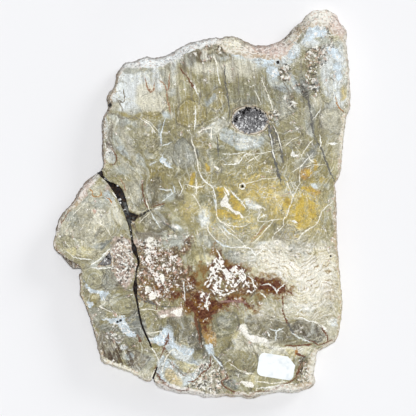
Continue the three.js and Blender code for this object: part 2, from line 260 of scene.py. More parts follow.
# The ground colour: one soft patch laid over another, each with its mineral and its strength. A patch is
# its middle, half width and half length, in millimetres, and its turn in degrees if it is turned.
CLOUDS = [
    ("olive", 1, 0, 0, 400, 400),
    # the pale upper left
    ("frost", 0.92, -44, 78, 15, 18), ("frost", 0.85, -31, 94.5, 11, 3, 4), ("fog", 0.85, -24, 84, 2, 9, 6),
    ("frost", 0.85, -18.6, 87, 3, 9, 4), ("frost", 0.7, -20, 75, 1.6, 3),
    ("straw", 0.75, -14.5, 82, 3.2, 9), ("sage", 0.7, -12, 75, 6, 8), ("khaki", 0.8, -9, 63, 10, 11),
    ("smoke", 0.7, -61, 70, 2.6, 6), ("fog", 0.85, -24.6, 59.6, 3, 2.6),
    # the top, over the round hollow
    ("pearl", 0.8, 31, 91, 9, 6), ("frost", 0.95, 28, 99, 13, 2.6, -16), ("ice", 0.9, 40.5, 95, 6, 4.6),
    ("frost", 0.85, 52, 94.6, 6, 5), ("frost", 0.85, 60, 103, 5, 7), ("moss", 0.75, 34, 76, 15, 7),
    ("drab", 0.85, 55, 86, 4.6, 4.2), ("steel", 0.75, 30, 68, 11, 2.6), ("mist", 0.85, 7.6, 74.5, 1.3, 5),
    ("fog", 0.75, 5.4, 67.6, 3.2, 4, -35),
    # the horn and the upper right
    ("frost", 0.85, 72, 118, 8, 10), ("fog", 0.75, 88, 100, 9, 26), ("ice", 1, 77, 114.5, 7, 5, -10),
    ("sage", 0.75, 76, 110.4, 4, 2), ("pearl", 0.7, 77, 99, 4, 6), ("steel", 0.9, 69, 78, 3.6, 8, 12),
    ("mist", 0.8, 60, 81, 1.8, 8, 22), ("mist", 0.6, 77, 83, 1.6, 5), ("frost", 0.85, 92, 95, 4, 12),
    ("straw", 0.75, 91, 113, 5, 3.6), ("frost", 0.85, 92.6, 72, 4.6, 9), ("bone", 0.7, 77, 68, 4.6, 4),
    ("frost", 0.7, 86, 66, 3.6, 3),
    # the right, down to the golden middle
    ("pearl", 0.75, 86, 55, 7, 10), ("steel", 0.75, 73, 57, 2.2, 12, 4), ("fog", 0.6, 69.6, 56, 2, 8),
    ("sage", 0.6, 60, 52, 9, 8), ("pearl", 0.75, 90, 39, 3, 14), ("drab", 0.8, 50.4, 38, 2.6, 14, 12),
    ("fog", 0.6, 66, 27, 5, 1.6, 40), ("amber", 0.95, 68.6, 21, 3.4, 4), ("gold", 0.85, 81, 16, 2.6, 1.8),
    ("gold", 0.7, 73, 14, 2, 3), ("fog", 0.7, 83, 13, 2, 2), ("straw", 0.5, 88, 30, 3, 8, 10),
    ("sage", 0.8, 84, -3, 5, 9), ("fog", 0.5, 86, 5, 2, 4),
    # the middle, under the round hollow
    ("frost", 0.95, 8, 51.5, 8, 2.2, 22), ("bone", 0.7, 31, 46, 6, 1.5), ("fog", 0.6, 41, 44, 4, 3),
    ("bone", 0.8, 23.4, 29, 2.6, 3.6), ("ash", 0.6, -6, 33, 4.6, 8), ("pearl", 0.6, -3, 43, 5, 4),
    ("sage", 0.5, 18, 36, 5, 3),
    # the golden middle
    ("ochre", 0.85, 40, 9, 17, 7), ("gold", 0.65, 49, 3, 7, 6), ("ochre", 0.9, 66, -4, 12, 14),
    ("mist", 0.85, 9.3, 1, 1.3, 2.2), ("frost", 0.9, 36.6, -1.4, 3, 1.8),
    ("frost", 0.75, 32, 1.4, 3.6, 1.8, -35), ("bone", 0.85, 46, -6, 3, 1.4),
    ("straw", 0.6, 35, -8, 8, 3.4, 20), ("ochre", 0.6, 48, -7, 10, 4), ("straw", 0.6, -8, 2, 5, 9),
    ("ochre", 0.4, -9, -4, 6, 6), ("frost", 0.85, 3, -10, 3, 6), ("fog", 0.75, 10, -16, 5, 4),
    ("pearl", 0.7, 16, -20, 8, 5, -20), ("sage", 0.6, 27, -15, 6, 6), ("ochre", 0.8, 37, -21, 8, 1.8, 45),
    ("fog", 0.6, 63, -23.4, 4, 2.4, 20), ("fog", 0.8, 14.6, -29, 5, 2.4, -30),
    ("umber", 0.8, 54, -5, 1.2, 1.2),
    # the cream beds on the right
    ("frost", 0.9, 45, -27, 9, 2), ("pearl", 0.8, 44, -30.4, 8, 1.8), ("ivory", 0.95, 50, -37, 13, 5),
    ("ivory", 0.95, 66, -46, 20, 7, -8), ("ivory", 0.9, 74, -56, 11, 10), ("sage", 0.7, 83, -24, 5, 3),
    ("bone", 0.8, 80, -28, 6, 2, 25), ("cream", 0.8, 83, -37, 7, 5), ("tan", 0.65, 85, -58, 4, 6, 20),
    ("sage", 0.6, 58, -52, 6, 2.6), ("sage", 0.6, 42, -69, 10, 4), ("straw", 0.75, 33, -71, 6, 2.6),
    ("fog", 0.7, 57, -68, 3.6, 5), ("bone", 0.85, 67, -65, 8, 6), ("pearl", 0.75, 82, -69, 7, 6),
    ("frost", 0.8, 70, -71, 3, 2.2), ("straw", 0.5, 66, -76, 8, 2.6, -20), ("ice", 0.95, 88, -79, 3, 2.2),
    ("pearl", 0.8, 87, -86, 4, 4), ("pink", 0.6, 86, -92, 5, 1.5, 20),
    # the foot
    ("drab", 0.8, 51, -91, 13, 2.4, -10), ("ivory", 0.9, 38, -90, 13, 2.4, -18),
    ("pearl", 0.8, 38, -99, 8, 2.4, -15), ("straw", 0.7, 57, -99, 5, 3.6), ("cream", 0.85, 68, -97, 7, 2.4),
    ("pearl", 0.9, 71.4, -113, 5, 8), ("sage", 0.6, 12, -89, 4, 6), ("amber", 0.95, 5, -86.6, 4, 4.4),
    ("mist", 0.95, 4, -96, 2.6, 3.4), ("char", 0.7, -1, -90, 2, 6, 5),
    ("umber", 0.7, -25, -97.6, 2.2, 4, 25), ("bone", 0.75, 5, -117, 8, 10),
    ("straw", 0.8, 34, -116, 3.4, 3), ("fog", 0.6, 24, -112, 9, 1.8, -15), ("sage", 0.7, 46, -119, 9, 3),
    ("cream", 0.7, 55, -122, 9, 2.6, 10),
    # the block left of the fracture
    ("steel", 0.9, -44.6, -79, 4, 9, 8), ("steel", 0.85, -60, -84, 11, 2.4, -25),
    ("fog", 0.5, -36, -106, 4, 8), ("bone", 0.8, -36, -114, 4, 3), ("pearl", 0.6, -70, -55, 9, 6),
    # the lobe
    ("pearl", 0.8, -79, -12, 19, 24, 15), ("fog", 0.8, -73, 0, 12, 4.6, -8), ("bone", 0.85, -66, -9, 8, 6),
    ("pink", 0.8, -63, 10.5, 1.6, 2),
    # between the fracture and the middle
    ("pink", 0.85, -61, 35, 3, 5), ("fog", 0.7, -52, 23, 8, 3), ("mist", 0.85, -27.4, 46, 1, 9),
    ("ash", 0.7, -20, 35, 5, 7), ("frost", 0.8, -33.6, 26.6, 1.5, 1.4), ("khaki", 0.85, -31, 19, 7, 6),
    ("fog", 0.75, -23, 4, 3.4, 3), ("pearl", 0.75, -48, 8, 4, 9), ("pearl", 0.6, -44, 14, 4, 6),
    ("umber", 0.9, -30, -1, 5, 1.6, 12), ("bone", 0.7, -44, -3.4, 4, 0.9, -10),
    ("umber", 0.9, -45.4, -14, 1.2, 3, 10), ("sage", 0.6, -18, -8, 4, 5),
    ("mist", 0.8, -18, -16, 5, 1.8, -5), ("fog", 0.75, -12, -22, 5, 5), ("bone", 0.85, 4, -36, 5.4, 2.8),
    ("pink", 0.9, -40, -27, 7, 3.4, -20),
]

# Islands with crisp banks, by kind of filling. Each is an outline in millimetres.
ISLANDS = {
    # brown earth that filled the heart, under the specks
    "earth": [
        [(-42.5, -30), (-38, -26.5), (-33, -30), (-29, -27.5), (-24, -32), (-19, -28), (-15.6, -30.6),
            (-12, -26), (-9.4, -22), (-6.6, -23), (-7.4, -28), (-10.6, -32), (-14, -35), (-11, -40.6),
            (-5.6, -42), (-7.6, -48.4), (-2, -53), (2.4, -58.6), (-3, -63), (-8, -66.4), (-14, -63),
            (-20, -67), (-27, -63.4), (-34, -66.6), (-41, -62), (-43.4, -52), (-42, -40)],
        [(3, -44), (5, -39.5), (8.4, -35), (11, -31), (14, -36), (20, -40), (27, -43), (32, -48), (36, -52),
            (37, -60), (28, -62), (14, -62), (5, -61), (2, -54)],
    ],
    # bluish white chalcedony
    "chalcedony": [
        [(-79.5, -50.5), (-75, -56), (-70, -58), (-61, -58.5), (-63, -61), (-66, -65), (-68, -60),
            (-74, -60), (-77.5, -55)], [(-77, -66), (-72.5, -66), (-74.5, -70)],
        [(-66, -76), (-60, -76.4), (-51.4, -73.6), (-50, -80), (-44, -86), (-48, -87.4), (-54, -84.6),
            (-59, -80.6)],
        [(-25, -82), (-21, -83), (-19, -88), (-16, -94), (-11, -97), (-5, -98.5), (-5, -101), (-8, -103),
            (-13, -101), (-17, -98.5), (-21, -96), (-26, -93), (-30, -91.5), (-35, -90), (-30, -87.5)],
        [(2.5, -93.5), (7, -94.5), (7, -98), (3, -99.5)],
        [(71, 120), (74.5, 118.9), (77.8, 118.5), (81.2, 116.8), (83.7, 113.5), (83.7, 111.4),
            (80.3, 111.4), (76.2, 110.2), (72, 108.5), (68.7, 107.3), (67, 108.5), (68.7, 112.7),
            (70.4, 116)], [(43, 92), (47, 92), (51, 90), (52, 86), (48, 84), (44, 87)],
        [(84, 104), (90, 103), (92, 98), (88, 96)], [(87, 94), (92, 94), (93, 86), (90, 82), (87.4, 86)],
        [(55, 100), (60, 103), (63, 101), (60, 97)], [(-28, 31), (-24.5, 30), (-21, 25), (-24, 25.5)],
    ],
    # cream-white opal
    "opal": [
        [(-20, -72), (-16, -70.5), (-12.4, -69), (-12, -72.5), (-14, -75), (-17, -74)],
        [(-27, -73.4), (-23, -72.6), (-22, -74.6), (-26, -75)],
        [(25, -81), (28, -80), (31, -85.5), (37, -88.6), (46, -92), (42, -93.5), (36, -92), (30, -89.4),
            (27, -86)],
        [(13.4, 5), (15.3, 4), (17.8, 0.4), (22, -3), (27.6, -6.4), (27, -7.8), (22.8, -5.4), (18.7, -2.4),
            (13.2, -0.6)], [(14, 10), (15.3, 8.7), (16.6, 6), (15.2, 5.8)],
        [(26.4, -8), (28.4, -8), (28.4, -9.6), (26.6, -9.6)],
        [(35.6, -0.6), (39.4, -1), (39, -3), (36, -3)],
        [(26, -118), (31, -117.4), (34.6, -119.6), (33, -122.6), (29, -120.6)],
        [(60, 31.5), (61, 35.4), (63, 33), (65.4, 31.4)], [(84.6, 40.8), (87, 41), (89, 40.2), (87, 39.6)],
        [(7, 28.8), (8.4, 28.2), (9.4, 26), (11.6, 24.4), (11.4, 22.2), (9.6, 21.6), (8.4, 23.6),
            (7.8, 26)], [(-19, -13.5), (-15.5, -15.8), (-17.5, -16.4), (-20.5, -14.8)],
        [(-28, -47), (-25.6, -47), (-24.6, -52), (-27, -53)],
        [(-34.6, -60), (-32, -59.6), (-31, -63), (-33.4, -64)],
        [(-36.6, -56), (-34.4, -55.6), (-34, -58), (-36, -58.4)],
        [(-36, -26), (-33.4, -25.6), (-33, -28), (-35.6, -28.4)],
        [(-36, -22.4), (-33, -22), (-32, -24.6), (-35, -25.4)],
    ],
    # clear gold
    "gilt": [
        [(9.3, -4.4), (15.3, -4.6), (20.3, -6), (26.1, -7.6), (27, -9.4), (22, -10), (17, -8.4),
            (11.2, -7)],
        [(18.2, 6), (20.6, 4.6), (23.7, 1.9), (28.7, -3.1), (28.4, -5.6), (25.3, -4.8), (21.2, -1.5),
            (17.6, 2.7)], [(10.4, 9.6), (13.4, 9.8), (13.6, 6), (11.4, 4), (10.4, 6)],
        [(-7.6, 20), (-5.4, 21), (-4.4, 17.6), (-5, 14), (-8, 14)],
        [(1.4, 26), (3.6, 26.4), (5, 23), (3.6, 20)],
        [(63.6, 2), (66.4, 3), (68.6, -4), (67.6, -12), (64.6, -15), (62.6, -9)],
        [(70, 3), (74, 0), (76, -6), (73, -10), (70.6, -6)], [(56, 4), (60, 3), (59, -2), (56, -1)],
        [(68.6, 22.6), (70.4, 22.8), (71.4, 19), (69.6, 17.6)],
        [(74.4, 29), (76.6, 28.6), (76.6, 24), (75, 23)],
        [(68, 11), (73, 11), (78, 8.6), (76, 6.6), (70, 8.6)],
    ],
    # iron oxides, dark red-brown
    "rust": [
        [(-12, -64), (-6, -62.4), (-2, -58), (2, -57), (4, -61), (11, -64), (20, -62.4), (29, -61.6),
            (30, -65), (37, -67.4), (36, -69.4), (30, -68.6), (24, -67), (16, -67), (10, -70), (8, -74),
            (4, -78), (2, -84), (-1, -83), (-3.6, -77), (-5, -72), (-10, -69.5)],
        [(-8, -50), (-3, -48), (-2, -54), (-7, -55)],
        [(35, -49.5), (43, -49), (50, -50.6), (56, -55), (60, -59.5), (53, -59), (48, -60), (40, -59),
            (36, -56)],
        [(9, -27), (10.4, -31), (13, -36), (17, -40), (22, -41.6), (29, -44.4), (33, -49), (30, -48),
            (24, -44.6), (16, -42.6), (11, -38), (8, -33)],
        [(-20, -60), (-14, -58), (-13, -63), (-19, -64.6)],
        [(-30, -54), (-26, -56), (-28, -60), (-31, -58)],
    ],
    # streaks of clearer olive left inside the brown
    "lagoon": [
        [(-1, -38), (3.5, -42), (3, -50), (4.5, -57), (1, -60.5), (-3, -56), (-5, -46), (-4, -40)],
        [(22, -60.5), (34, -60.8), (46, -60.6), (52, -63), (40, -65), (30, -63.5), (24, -62)],
        [(-38, -50), (-33, -53), (-34, -57), (-39, -56)], [(-18, -54), (-13, -55), (-13, -60), (-17, -59)],
        [(22, -45.6), (26, -46.6), (24, -49.6), (21, -48.6)], [(10, -52), (14, -51), (17, -55), (12, -57)],
    ],
}

# Egg-shaped wood cells and knots, banded like onions inside a darker seam: the mineral and the patch.
EGGS = [
    ("pearl", -80, -12, 15, 14, 15), ("sage", -86, -26, 9, 6, -25), ("sage", -72, -49, 9, 6.4, -35),
    ("ash", -61.5, -49.5, 5.4, 7, 5), ("sage", -56.5, -66, 12, 7, -8), ("khaki", -73, -61.8, 3.6, 4),
    ("ash", -71, -74, 4.4, 5, 30), ("drab", -60, -98, 8, 7), ("smoke", -43, -104.6, 7, 6.4, -20),
    ("moss", -52, -90, 7, 5, -20), ("steel", -44, -80.6, 4, 8.6, 10), ("olive", -33, -80, 6.4, 8.8, 8),
    ("drab", -12, -83, 9.6, 9, 10), ("char", -4, -92, 5.8, 5.4), ("moss", 15, -79, 10.6, 9.2),
    ("ash", 14, -79, 5, 4.4), ("steel", 2.2, -100, 2.7, 3.3), ("sage", -3.3, -101.3, 3.2, 3.2),
    ("olive", 24, -103, 13, 9.6), ("drab", 44, -82.4, 15.4, 8, -14), ("char", 71, -84.6, 12, 6, -16),
    ("straw", -13, -113, 16, 9.6, -14), ("sage", 23, -120, 9, 5.4, -18), ("olive", -36, -12, 8.6, 9, 20),
    ("pearl", -42.6, 6, 4.6, 8, 8), ("drab", -32, 8, 5.4, 8.6, -6), ("khaki", -8, 60, 10, 9),
    ("ash", -13, 34, 8, 9.6, 10), ("olive", 61, 44, 8, 6), ("ash", 55, 63, 6.4, 7),
    ("pearl", 86, 56, 7, 9, 10), ("moss", 52.6, 73, 5, 6, 30), ("sage", 84, 76, 5, 9),
    ("moss", 56, -19, 8, 5.6, -12), ("bone", -32, 67, 8, 7.4), ("khaki", 10, 70, 6, 8),
]

# Forms with plainer banks than the clouds have: the mineral, how soft the bank is in millimetres, and
# the outline in millimetres.
FORMS = [
    # the upper left
    ("frost", 3, [(-60, 72), (-56, 86), (-44, 91), (-40, 88), (-43, 78), (-46, 66), (-52, 62), (-58, 64)]),
    ("bone", 2, [(-43, 79), (-36, 80), (-30, 76), (-25, 66), (-28, 61), (-38, 62), (-44, 68)]),
    ("frost", 2, [(-33, 90), (-29, 91), (-27, 84), (-26, 76), (-29, 76), (-32, 82)]),
    ("fog", 3, [(-62, 50), (-52, 58), (-44, 56), (-44, 44), (-50, 34), (-58, 38)]),
    ("bone", 4, [(-12, 95), (0, 94), (14, 95), (30, 96), (37, 91), (30, 86), (16, 87), (4, 86), (-8, 90)]),
    ("frost", 1.4, [(-56, 93), (-46, 95.4), (-36, 98.6), (-29, 97.4), (-20, 101), (-10, 107), (0, 110.4),
        (14, 111.6), (14, 108.6), (7, 106.6), (-1, 106), (-8, 103.6), (-13, 99), (-15, 96), (-22, 95),
        (-28, 92.4), (-42, 92), (-52, 92.6)]),
    ("ash", 1.2, [(-54, 91.6), (-45, 91), (-37, 90.6), (-32, 91), (-34, 88.6), (-41, 88), (-46, 86.4),
        (-52, 87.4)]), ("straw", 0.6, [(-37.6, 93.6), (-34, 94.4), (-32.6, 92.8), (-35, 92)]),
    ("ash", 0.8, [(-29, 94), (-26.6, 90), (-25.6, 84), (-24, 79), (-25.4, 80), (-28, 86), (-30, 91)]),
    ("khaki", 1.6, [(-57, 62), (-51, 60.6), (-46, 59), (-38, 62), (-26, 60.6), (-27, 57), (-36, 56.6),
        (-46, 55.4), (-52, 57)]),
    ("fog", 1, [(-62.6, 60.4), (-57, 58.6), (-51, 57.4), (-47, 54), (-52, 50), (-58, 53), (-61.4, 57)]),
    ("mist", 0.5, [(-26.4, 60.6), (-24, 61.6), (-22.4, 60.4), (-22.8, 57.8), (-25.4, 58)]),
    ("bone", 0.4, [(-21.6, 60.6), (-19.2, 60.8), (-18.8, 58.4), (-21, 57)]),
    ("pearl", 1, [(-59, 68), (-55.6, 67), (-55, 63.6), (-58.6, 62.6), (-61, 64)]),
    ("frost", 0.6, [(-64.6, 36), (-60.6, 36.6), (-58, 32), (-58.6, 28), (-62, 28), (-64.6, 31)]),
    # the top
    ("drab", 1, [(-8, 101), (-5, 104), (2, 105.6), (8, 106.6), (14, 105), (19, 101.6), (20, 97), (14, 94.6),
        (6, 95), (-1, 94.4), (-6, 95), (-8, 97)]),
    ("ash", 1.4, [(-15, 97), (-8, 100.6), (-4, 97), (-5, 92), (-13, 92)]),
    ("umber", 0.8, [(-2.4, 105), (3.6, 105), (4.4, 102), (3.8, 99), (5.2, 97), (3, 95), (-0.6, 95),
        (-2, 98.6)]),
    ("ivory", 0.5, [(-1.6, 104.6), (3, 104.4), (3.6, 102), (2.8, 99), (4.4, 97), (3, 95.6), (0, 95.8),
        (-1, 98.6), (-0.6, 101)]),
    ("fog", 0.6, [(11, 98), (15, 98.6), (18, 97.4), (15, 95.6), (11.6, 96.2)]),
    ("tan", 0.6, [(9.4, 104), (12, 104.6), (12.6, 101.6), (10.6, 100.6)]),
    ("ice", 1, [(18.4, 104), (22, 100.6), (30, 98.8), (36, 98.6), (41, 99.4), (46, 97), (52, 97.6),
        (57, 101), (60, 108), (66, 112), (65, 100), (61, 94), (54, 93), (46, 93.6), (41, 92), (37, 94),
        (34, 97), (26, 97.4), (20, 99)]),
    ("frost", 1, [(48, 98), (54, 99), (58, 103), (60, 110), (65, 114), (67, 106), (62, 98), (56, 94),
        (50, 93.6)]),
    ("mist", 0.8, [(42, 92), (47, 91), (51, 88), (52, 83), (57, 80), (61, 75.6), (58, 73.6), (51, 76),
        (46, 79.6), (43, 85)]),
    ("drab", 0.7, [(50.4, 88), (55, 89), (59, 87), (59.6, 83.4), (55, 81.6), (51.4, 83.4)]),
    ("bone", 1.4, [(15, 93), (22, 94), (22.4, 86), (20.6, 81), (17, 82), (15.4, 87)]),
    ("mist", 0.8, [(57, 86), (60, 86.6), (65.6, 76), (64, 74), (60, 79)]),
    ("mist", 0.8, [(74.6, 84), (77, 83), (78, 75), (76, 76)]),
    ("fog", 0.8, [(47.6, 59), (50, 57), (52, 54), (51, 51.6), (49, 53)]),
    ("mist", 0.7, [(2.6, 68), (5, 70.6), (8.6, 74), (9.4, 71), (7, 67.6), (4, 65)]),
    # the horn
    ("frost", 2.5, [(80, 104), (88, 106), (95, 98), (96, 84), (92, 72), (84, 70), (80, 80), (79, 92)]),
    ("frost", 0.8, [(65, 106), (70, 110), (75, 110), (79, 107), (74, 104.6), (68, 104)]),
    ("tan", 0.5, [(74.6, 113), (77, 113.6), (78, 111.4), (75.4, 110.8)]),
    ("drab", 0.6, [(70.6, 118.8), (70.4, 115), (67.6, 110.6), (64, 106), (63, 108.6), (65.4, 113)]),
    ("ivory", 0.4, [(69.4, 121.4), (68, 117.6), (64.4, 113), (62.6, 111.6), (63.6, 115), (66.4, 119)]),
    ("ash", 0.7, [(59, 101), (62, 101), (64, 97), (62, 94), (60, 96)]),
    ("char", 0.7, [(66, 80), (69.6, 82), (70.6, 77), (71.6, 70), (68.6, 70), (65.4, 74.6)]),
    ("ash", 0.6, [(88.4, 95), (90, 91), (92.6, 94.6), (91.4, 90), (89, 88.6)]),
    ("honey", 0.8, [(92.6, 78), (95.6, 79), (96.6, 75), (95, 70), (92.4, 68.6), (92.6, 73)]),
    # the left side
    ("frost", 0.5, [(-65.4, 58), (-63.4, 58.6), (-61.6, 52), (-62.4, 46), (-64.6, 47), (-65.6, 52)]),
    ("smoke", 0.6, [(-62, 53), (-58.6, 51), (-59.6, 45), (-62, 38), (-64, 40), (-63.4, 46)]),
    ("pearl", 0.8, [(-62, 57), (-56, 54), (-50, 47), (-46, 38), (-42, 27), (-38, 21), (-41, 20), (-46, 27),
        (-51, 37), (-56, 45), (-60, 50)]),
    ("sage", 1, [(-53, 51), (-48, 53), (-43, 49), (-41.6, 42), (-44, 38), (-47, 43)]),
    ("pearl", 1, [(-57, 33), (-53, 31), (-48, 25), (-44, 20), (-49, 22), (-55, 28)]),
    ("mist", 0.8, [(-56, 42), (-51, 36), (-48, 30), (-52, 32), (-57, 38)]),
    ("fog", 0.7, [(-43, 34), (-40, 31), (-38, 25), (-41, 26), (-44, 30)]),
    ("fog", 0.6, [(-24.6, 5), (-21, 8), (-17.6, 6.6), (-17, 3.6), (-21, 2)]),
    ("drab", 0.6, [(-17, 9), (-13, 8), (-12, 4), (-15, 1.6), (-18, 3.6), (-17.4, 6.4)]),
    ("bone", 0.4, [(-47.6, -3), (-43, -4), (-38, -4.6), (-42, -5.8), (-46, -5)]),
    # below the round hollow
    ("bone", 0.6, [(-3, 48), (3, 50.4), (8, 53.4), (14, 56), (16.4, 53), (13, 49), (8, 46.6), (6.6, 49.6)]),
    ("steel", 0.5, [(3.6, 50), (6.4, 50), (8, 45), (5.6, 44), (4, 46.4)]),
    ("mist", 1, [(14, 51), (20, 50), (26, 46.4), (35, 45.4), (41, 44), (40, 39), (33, 36.4), (25, 35.4),
        (21, 38.4), (15, 41), (11.6, 44)]),
    ("frost", 0.8, [(23, 43), (30, 44), (36, 42), (37, 39), (30, 37), (24, 38)]),
    ("khaki", 0.7, [(-6, 44), (2, 45), (6, 41), (3, 37), (-4, 38)]),
    ("ivory", 0.4, [(21.6, 29), (25, 29), (24.6, 26.6)]),
    # the right side
    ("amber", 0.6, [(66.2, 23), (70, 23.6), (71.6, 20.4), (70.4, 17.4), (68, 16.6), (66.6, 19)]),
    ("amber", 0.6, [(67.6, 11.6), (72, 11), (77, 9.8), (79.4, 8), (76, 6), (71.6, 7.6)]),
    ("fog", 0.6, [(69, 55), (71.6, 56), (72.4, 50), (74, 45), (71, 46), (69.4, 50)]),
    ("slate blue", 0.8, [(64, 24), (68, 31), (74, 39), (77.6, 40), (76, 34), (72, 27.4), (67, 23)]),
    ("honey", 0.5, [(74.6, 29.6), (76.8, 28.6), (77.6, 25), (75, 23)]),
    ("ice", 0.4, [(73, 13.4), (76, 13.8), (77, 11), (74.6, 10.4)]),
    # the golden middle
    ("gold", 1, [(60, 5), (66, 6), (74, 1), (77, -7), (73, -13), (68, -17), (63, -17), (61.6, -9),
        (58.6, -3)]), ("honey", 0.8, [(46, 6), (51, 7), (55, 2), (53, -3), (49, -4), (46, 0)]),
    ("moss", 0.8, [(-1, 8), (5, 9), (8, 4), (7.4, -2), (3, -4), (-1, -1)]),
    ("frost", 0.6, [(28, 3), (32, 2.6), (38, -1), (38.6, -3.4), (34, -4), (30, -1)]),
    ("frost", 0.8, [(-1, -4), (3, -4.6), (4.6, -10), (3.6, -15), (0, -15), (-1.4, -10)]),
    ("ash", 0.7, [(2, -16), (8, -22), (13, -28), (8, -31), (1, -27), (-3, -21)]),
    ("steel", 0.8, [(15, -32), (22, -31), (29, -33), (28, -38), (23, -40), (17, -38)]),
    ("drab", 0.6, [(53, -13.4), (59, -13.6), (63.6, -17), (63, -21), (57, -24), (50, -24.6), (47.6, -22.6),
        (50.4, -17)]),
    ("ivory", 0.6, [(36, -28.4), (42, -26.2), (48, -24.8), (56, -25.8), (58.6, -29.6), (51, -30.6),
        (44, -28.6), (38, -30.6)]),
    ("fog", 0.5, [(29.6, -33), (32, -30.4), (35, -31.4), (36.6, -35), (35, -39), (31, -39.6),
        (29.4, -36.6)]),
    ("ash", 0.6, [(58.6, -28), (64, -25.6), (73, -26.6), (75, -30), (71, -34), (64, -38), (59, -37.6),
        (56.6, -33.6)]), ("straw", 0.8, [(30, -42), (38, -43), (46, -46), (43, -48.6), (35, -47.4)]),
    ("steel", 1.2, [(60, -26), (66, -24.6), (70, -27), (71, -31), (67, -35), (61, -35), (58, -31)]),
    # the foot
    ("amber", 0.6, [(-0.6, -82), (3, -83), (9, -86), (10, -90.6), (9, -94.6), (5, -93.4), (1.2, -90)]),
    ("pink", 0.8, [(-29, -71), (-22, -70), (-14, -68.6), (-12, -74), (-17, -75.6), (-24, -75),
        (-29, -75.6)]),
    ("ivory", 0.5, [(27, -85), (34, -88), (41, -90.6), (47, -94.4), (57, -95.4), (65, -95), (68, -97.6),
        (58, -98), (48, -97.4), (40, -94.4), (31, -91)]),
    ("ivory", 0.4, [(26, -81), (28.4, -79.6), (31, -83), (34, -86), (28.6, -86.4), (26, -91), (23, -97),
        (21, -99.6), (22.6, -93.6), (19.6, -90), (24.4, -87)]),
    ("straw", 0.7, [(20, -86.6), (24, -84), (25, -88), (21, -89.6)]),
    ("ice", 0.5, [(2, -94), (7.6, -95), (8.6, -99), (6.6, -101.6), (3.6, -98)]),
    ("mist", 0.6, [(-26, -83), (-23.6, -81), (-20.6, -81.6), (-19, -87), (-16, -92.6), (-11, -94),
        (-7, -96.4), (-5, -98.6), (-6.4, -101), (-5.6, -105), (-12, -105.4), (-18, -103), (-20.6, -99.6),
        (-24, -96.6), (-29, -93), (-36, -92), (-35.6, -90), (-30, -89), (-27, -86)]),
    ("frost", 0.5, [(-20, -97), (-13, -96), (-8, -99), (-7, -103), (-12, -104.6), (-17, -102)]),
    ("frost", 0.5, [(-35, -90), (-29, -91), (-24, -90), (-20, -94), (-24, -95), (-30, -92)]),
    ("ice", 1, [(-27, -101), (-20, -104), (-12, -106), (-3, -104), (1, -106), (-2, -114), (-8, -119),
        (-16, -124), (-24, -120), (-30, -113)]),
    ("straw", 1, [(-17, -105), (-9, -106), (-2, -108), (-4, -112), (-10, -113), (-15, -110)]),
    ("sand", 1, [(-24, -110), (-19, -111), (-14, -116), (-13, -122), (-19, -122), (-24, -116)]),
    ("bone", 1, [(24, -88), (32, -92), (42, -96), (54, -98), (68, -97), (66, -101), (54, -100.6), (40, -99),
        (28, -98), (22, -95)]),
    ("ivory", 0.6, [(-34, -117), (-31, -118.6), (-27, -123), (-19, -126), (-9, -127), (-6, -124),
        (-11, -122.4), (-17, -125), (-24, -121.6), (-29, -116.6), (-31.6, -113)]),
    ("fog", 0.7, [(-4, -104), (3, -103.6), (5, -107), (2, -111.6), (-2, -114.6), (-5, -112), (-1, -108)]),
    ("straw", 0.5, [(30, -113), (36, -115.6), (37, -120), (33, -119)]),
    ("steel", 0.6, [(15, -118), (22, -117), (25, -121), (22, -124), (17, -121.6)]),
    ("straw", 0.7, [(56, -96.6), (62, -97), (62, -103), (58, -101)]),
    ("char", 0.7, [(64.6, -101.6), (68.6, -101), (69, -105.6), (66, -107)]),
    ("ice", 0.5, [(85.6, -77.4), (89.6, -77), (91.4, -80), (87, -81.4)]),
    # the block left of the fracture
    ("smoke", 0.9, [(-70, -86), (-62, -87), (-57, -91), (-55, -97), (-58, -104), (-66, -102), (-70, -95)]),
    ("frost", 0.5, [(-64, -85), (-61, -85.5), (-57, -88.5), (-54, -91), (-55, -93), (-58, -91.5),
        (-62, -88)]), ("mist", 0.5, [(-52, -100), (-48, -99.4), (-44.6, -101), (-46, -104), (-50, -104)]),
    ("frost", 0.4, [(-54, -94.6), (-50, -95), (-50, -96.6), (-54.6, -97)]),
    ("bone", 0.7, [(-69, -103), (-60, -107), (-50, -111), (-40, -115), (-36, -118), (-44, -118.6),
        (-58, -112), (-69, -107)]),
    ("fog", 0.5, [(-74, -39), (-68, -36), (-61, -29.6), (-59.6, -32), (-61, -41), (-66, -43),
        (-73, -42.4)]),
    ("steel", 0.4, [(-70, -40.6), (-66, -36.6), (-61.6, -33), (-60.6, -36), (-62, -41), (-67, -41.6)]),
    ("mist", 0.3, [(-69, -40), (-66, -37.6), (-64.4, -39), (-66, -40.8)]),
    # the lobe
    ("pink", 0.6, [(-71, 20), (-76, 14), (-80, 8), (-85, 1), (-91, -5), (-95, -12), (-98, -20), (-99, -13),
        (-95, -3), (-88, 3), (-82, 12), (-74, 20)]),
    ("pearl", 0.5, [(-75, 12), (-70, 13), (-67, 9), (-70, 7), (-74, 8)]),
    ("mist", 0.7, [(-66, 8), (-62, 9), (-59, 4), (-57.6, -1), (-61, 1), (-65, 4)]),
    ("bone", 0.7, [(-62, 2), (-57, 1), (-54, -7), (-53, -14), (-57, -12), (-60, -5)]),
    ("ash", 0.8, [(-92, -6), (-86, -4), (-82, -9), (-84, -16), (-90, -14)]),
    ("bone", 0.8, [(-74, -4), (-66, -4), (-62, -11), (-66, -15), (-74, -12)]),
    ("straw", 0.8, [(-90, -30), (-82, -28), (-74, -29), (-73, -33), (-82, -35), (-88, -33.6)]),
    ("steel", 0.6, [(-72, -28), (-64, -25), (-57, -21), (-60, -25), (-67, -30.6)]),
    # the heart's edge
    ("pink", 0.8, [(-59.5, -23), (-54, -22), (-48, -24), (-45.5, -36), (-46.5, -50), (-50, -56), (-56, -52),
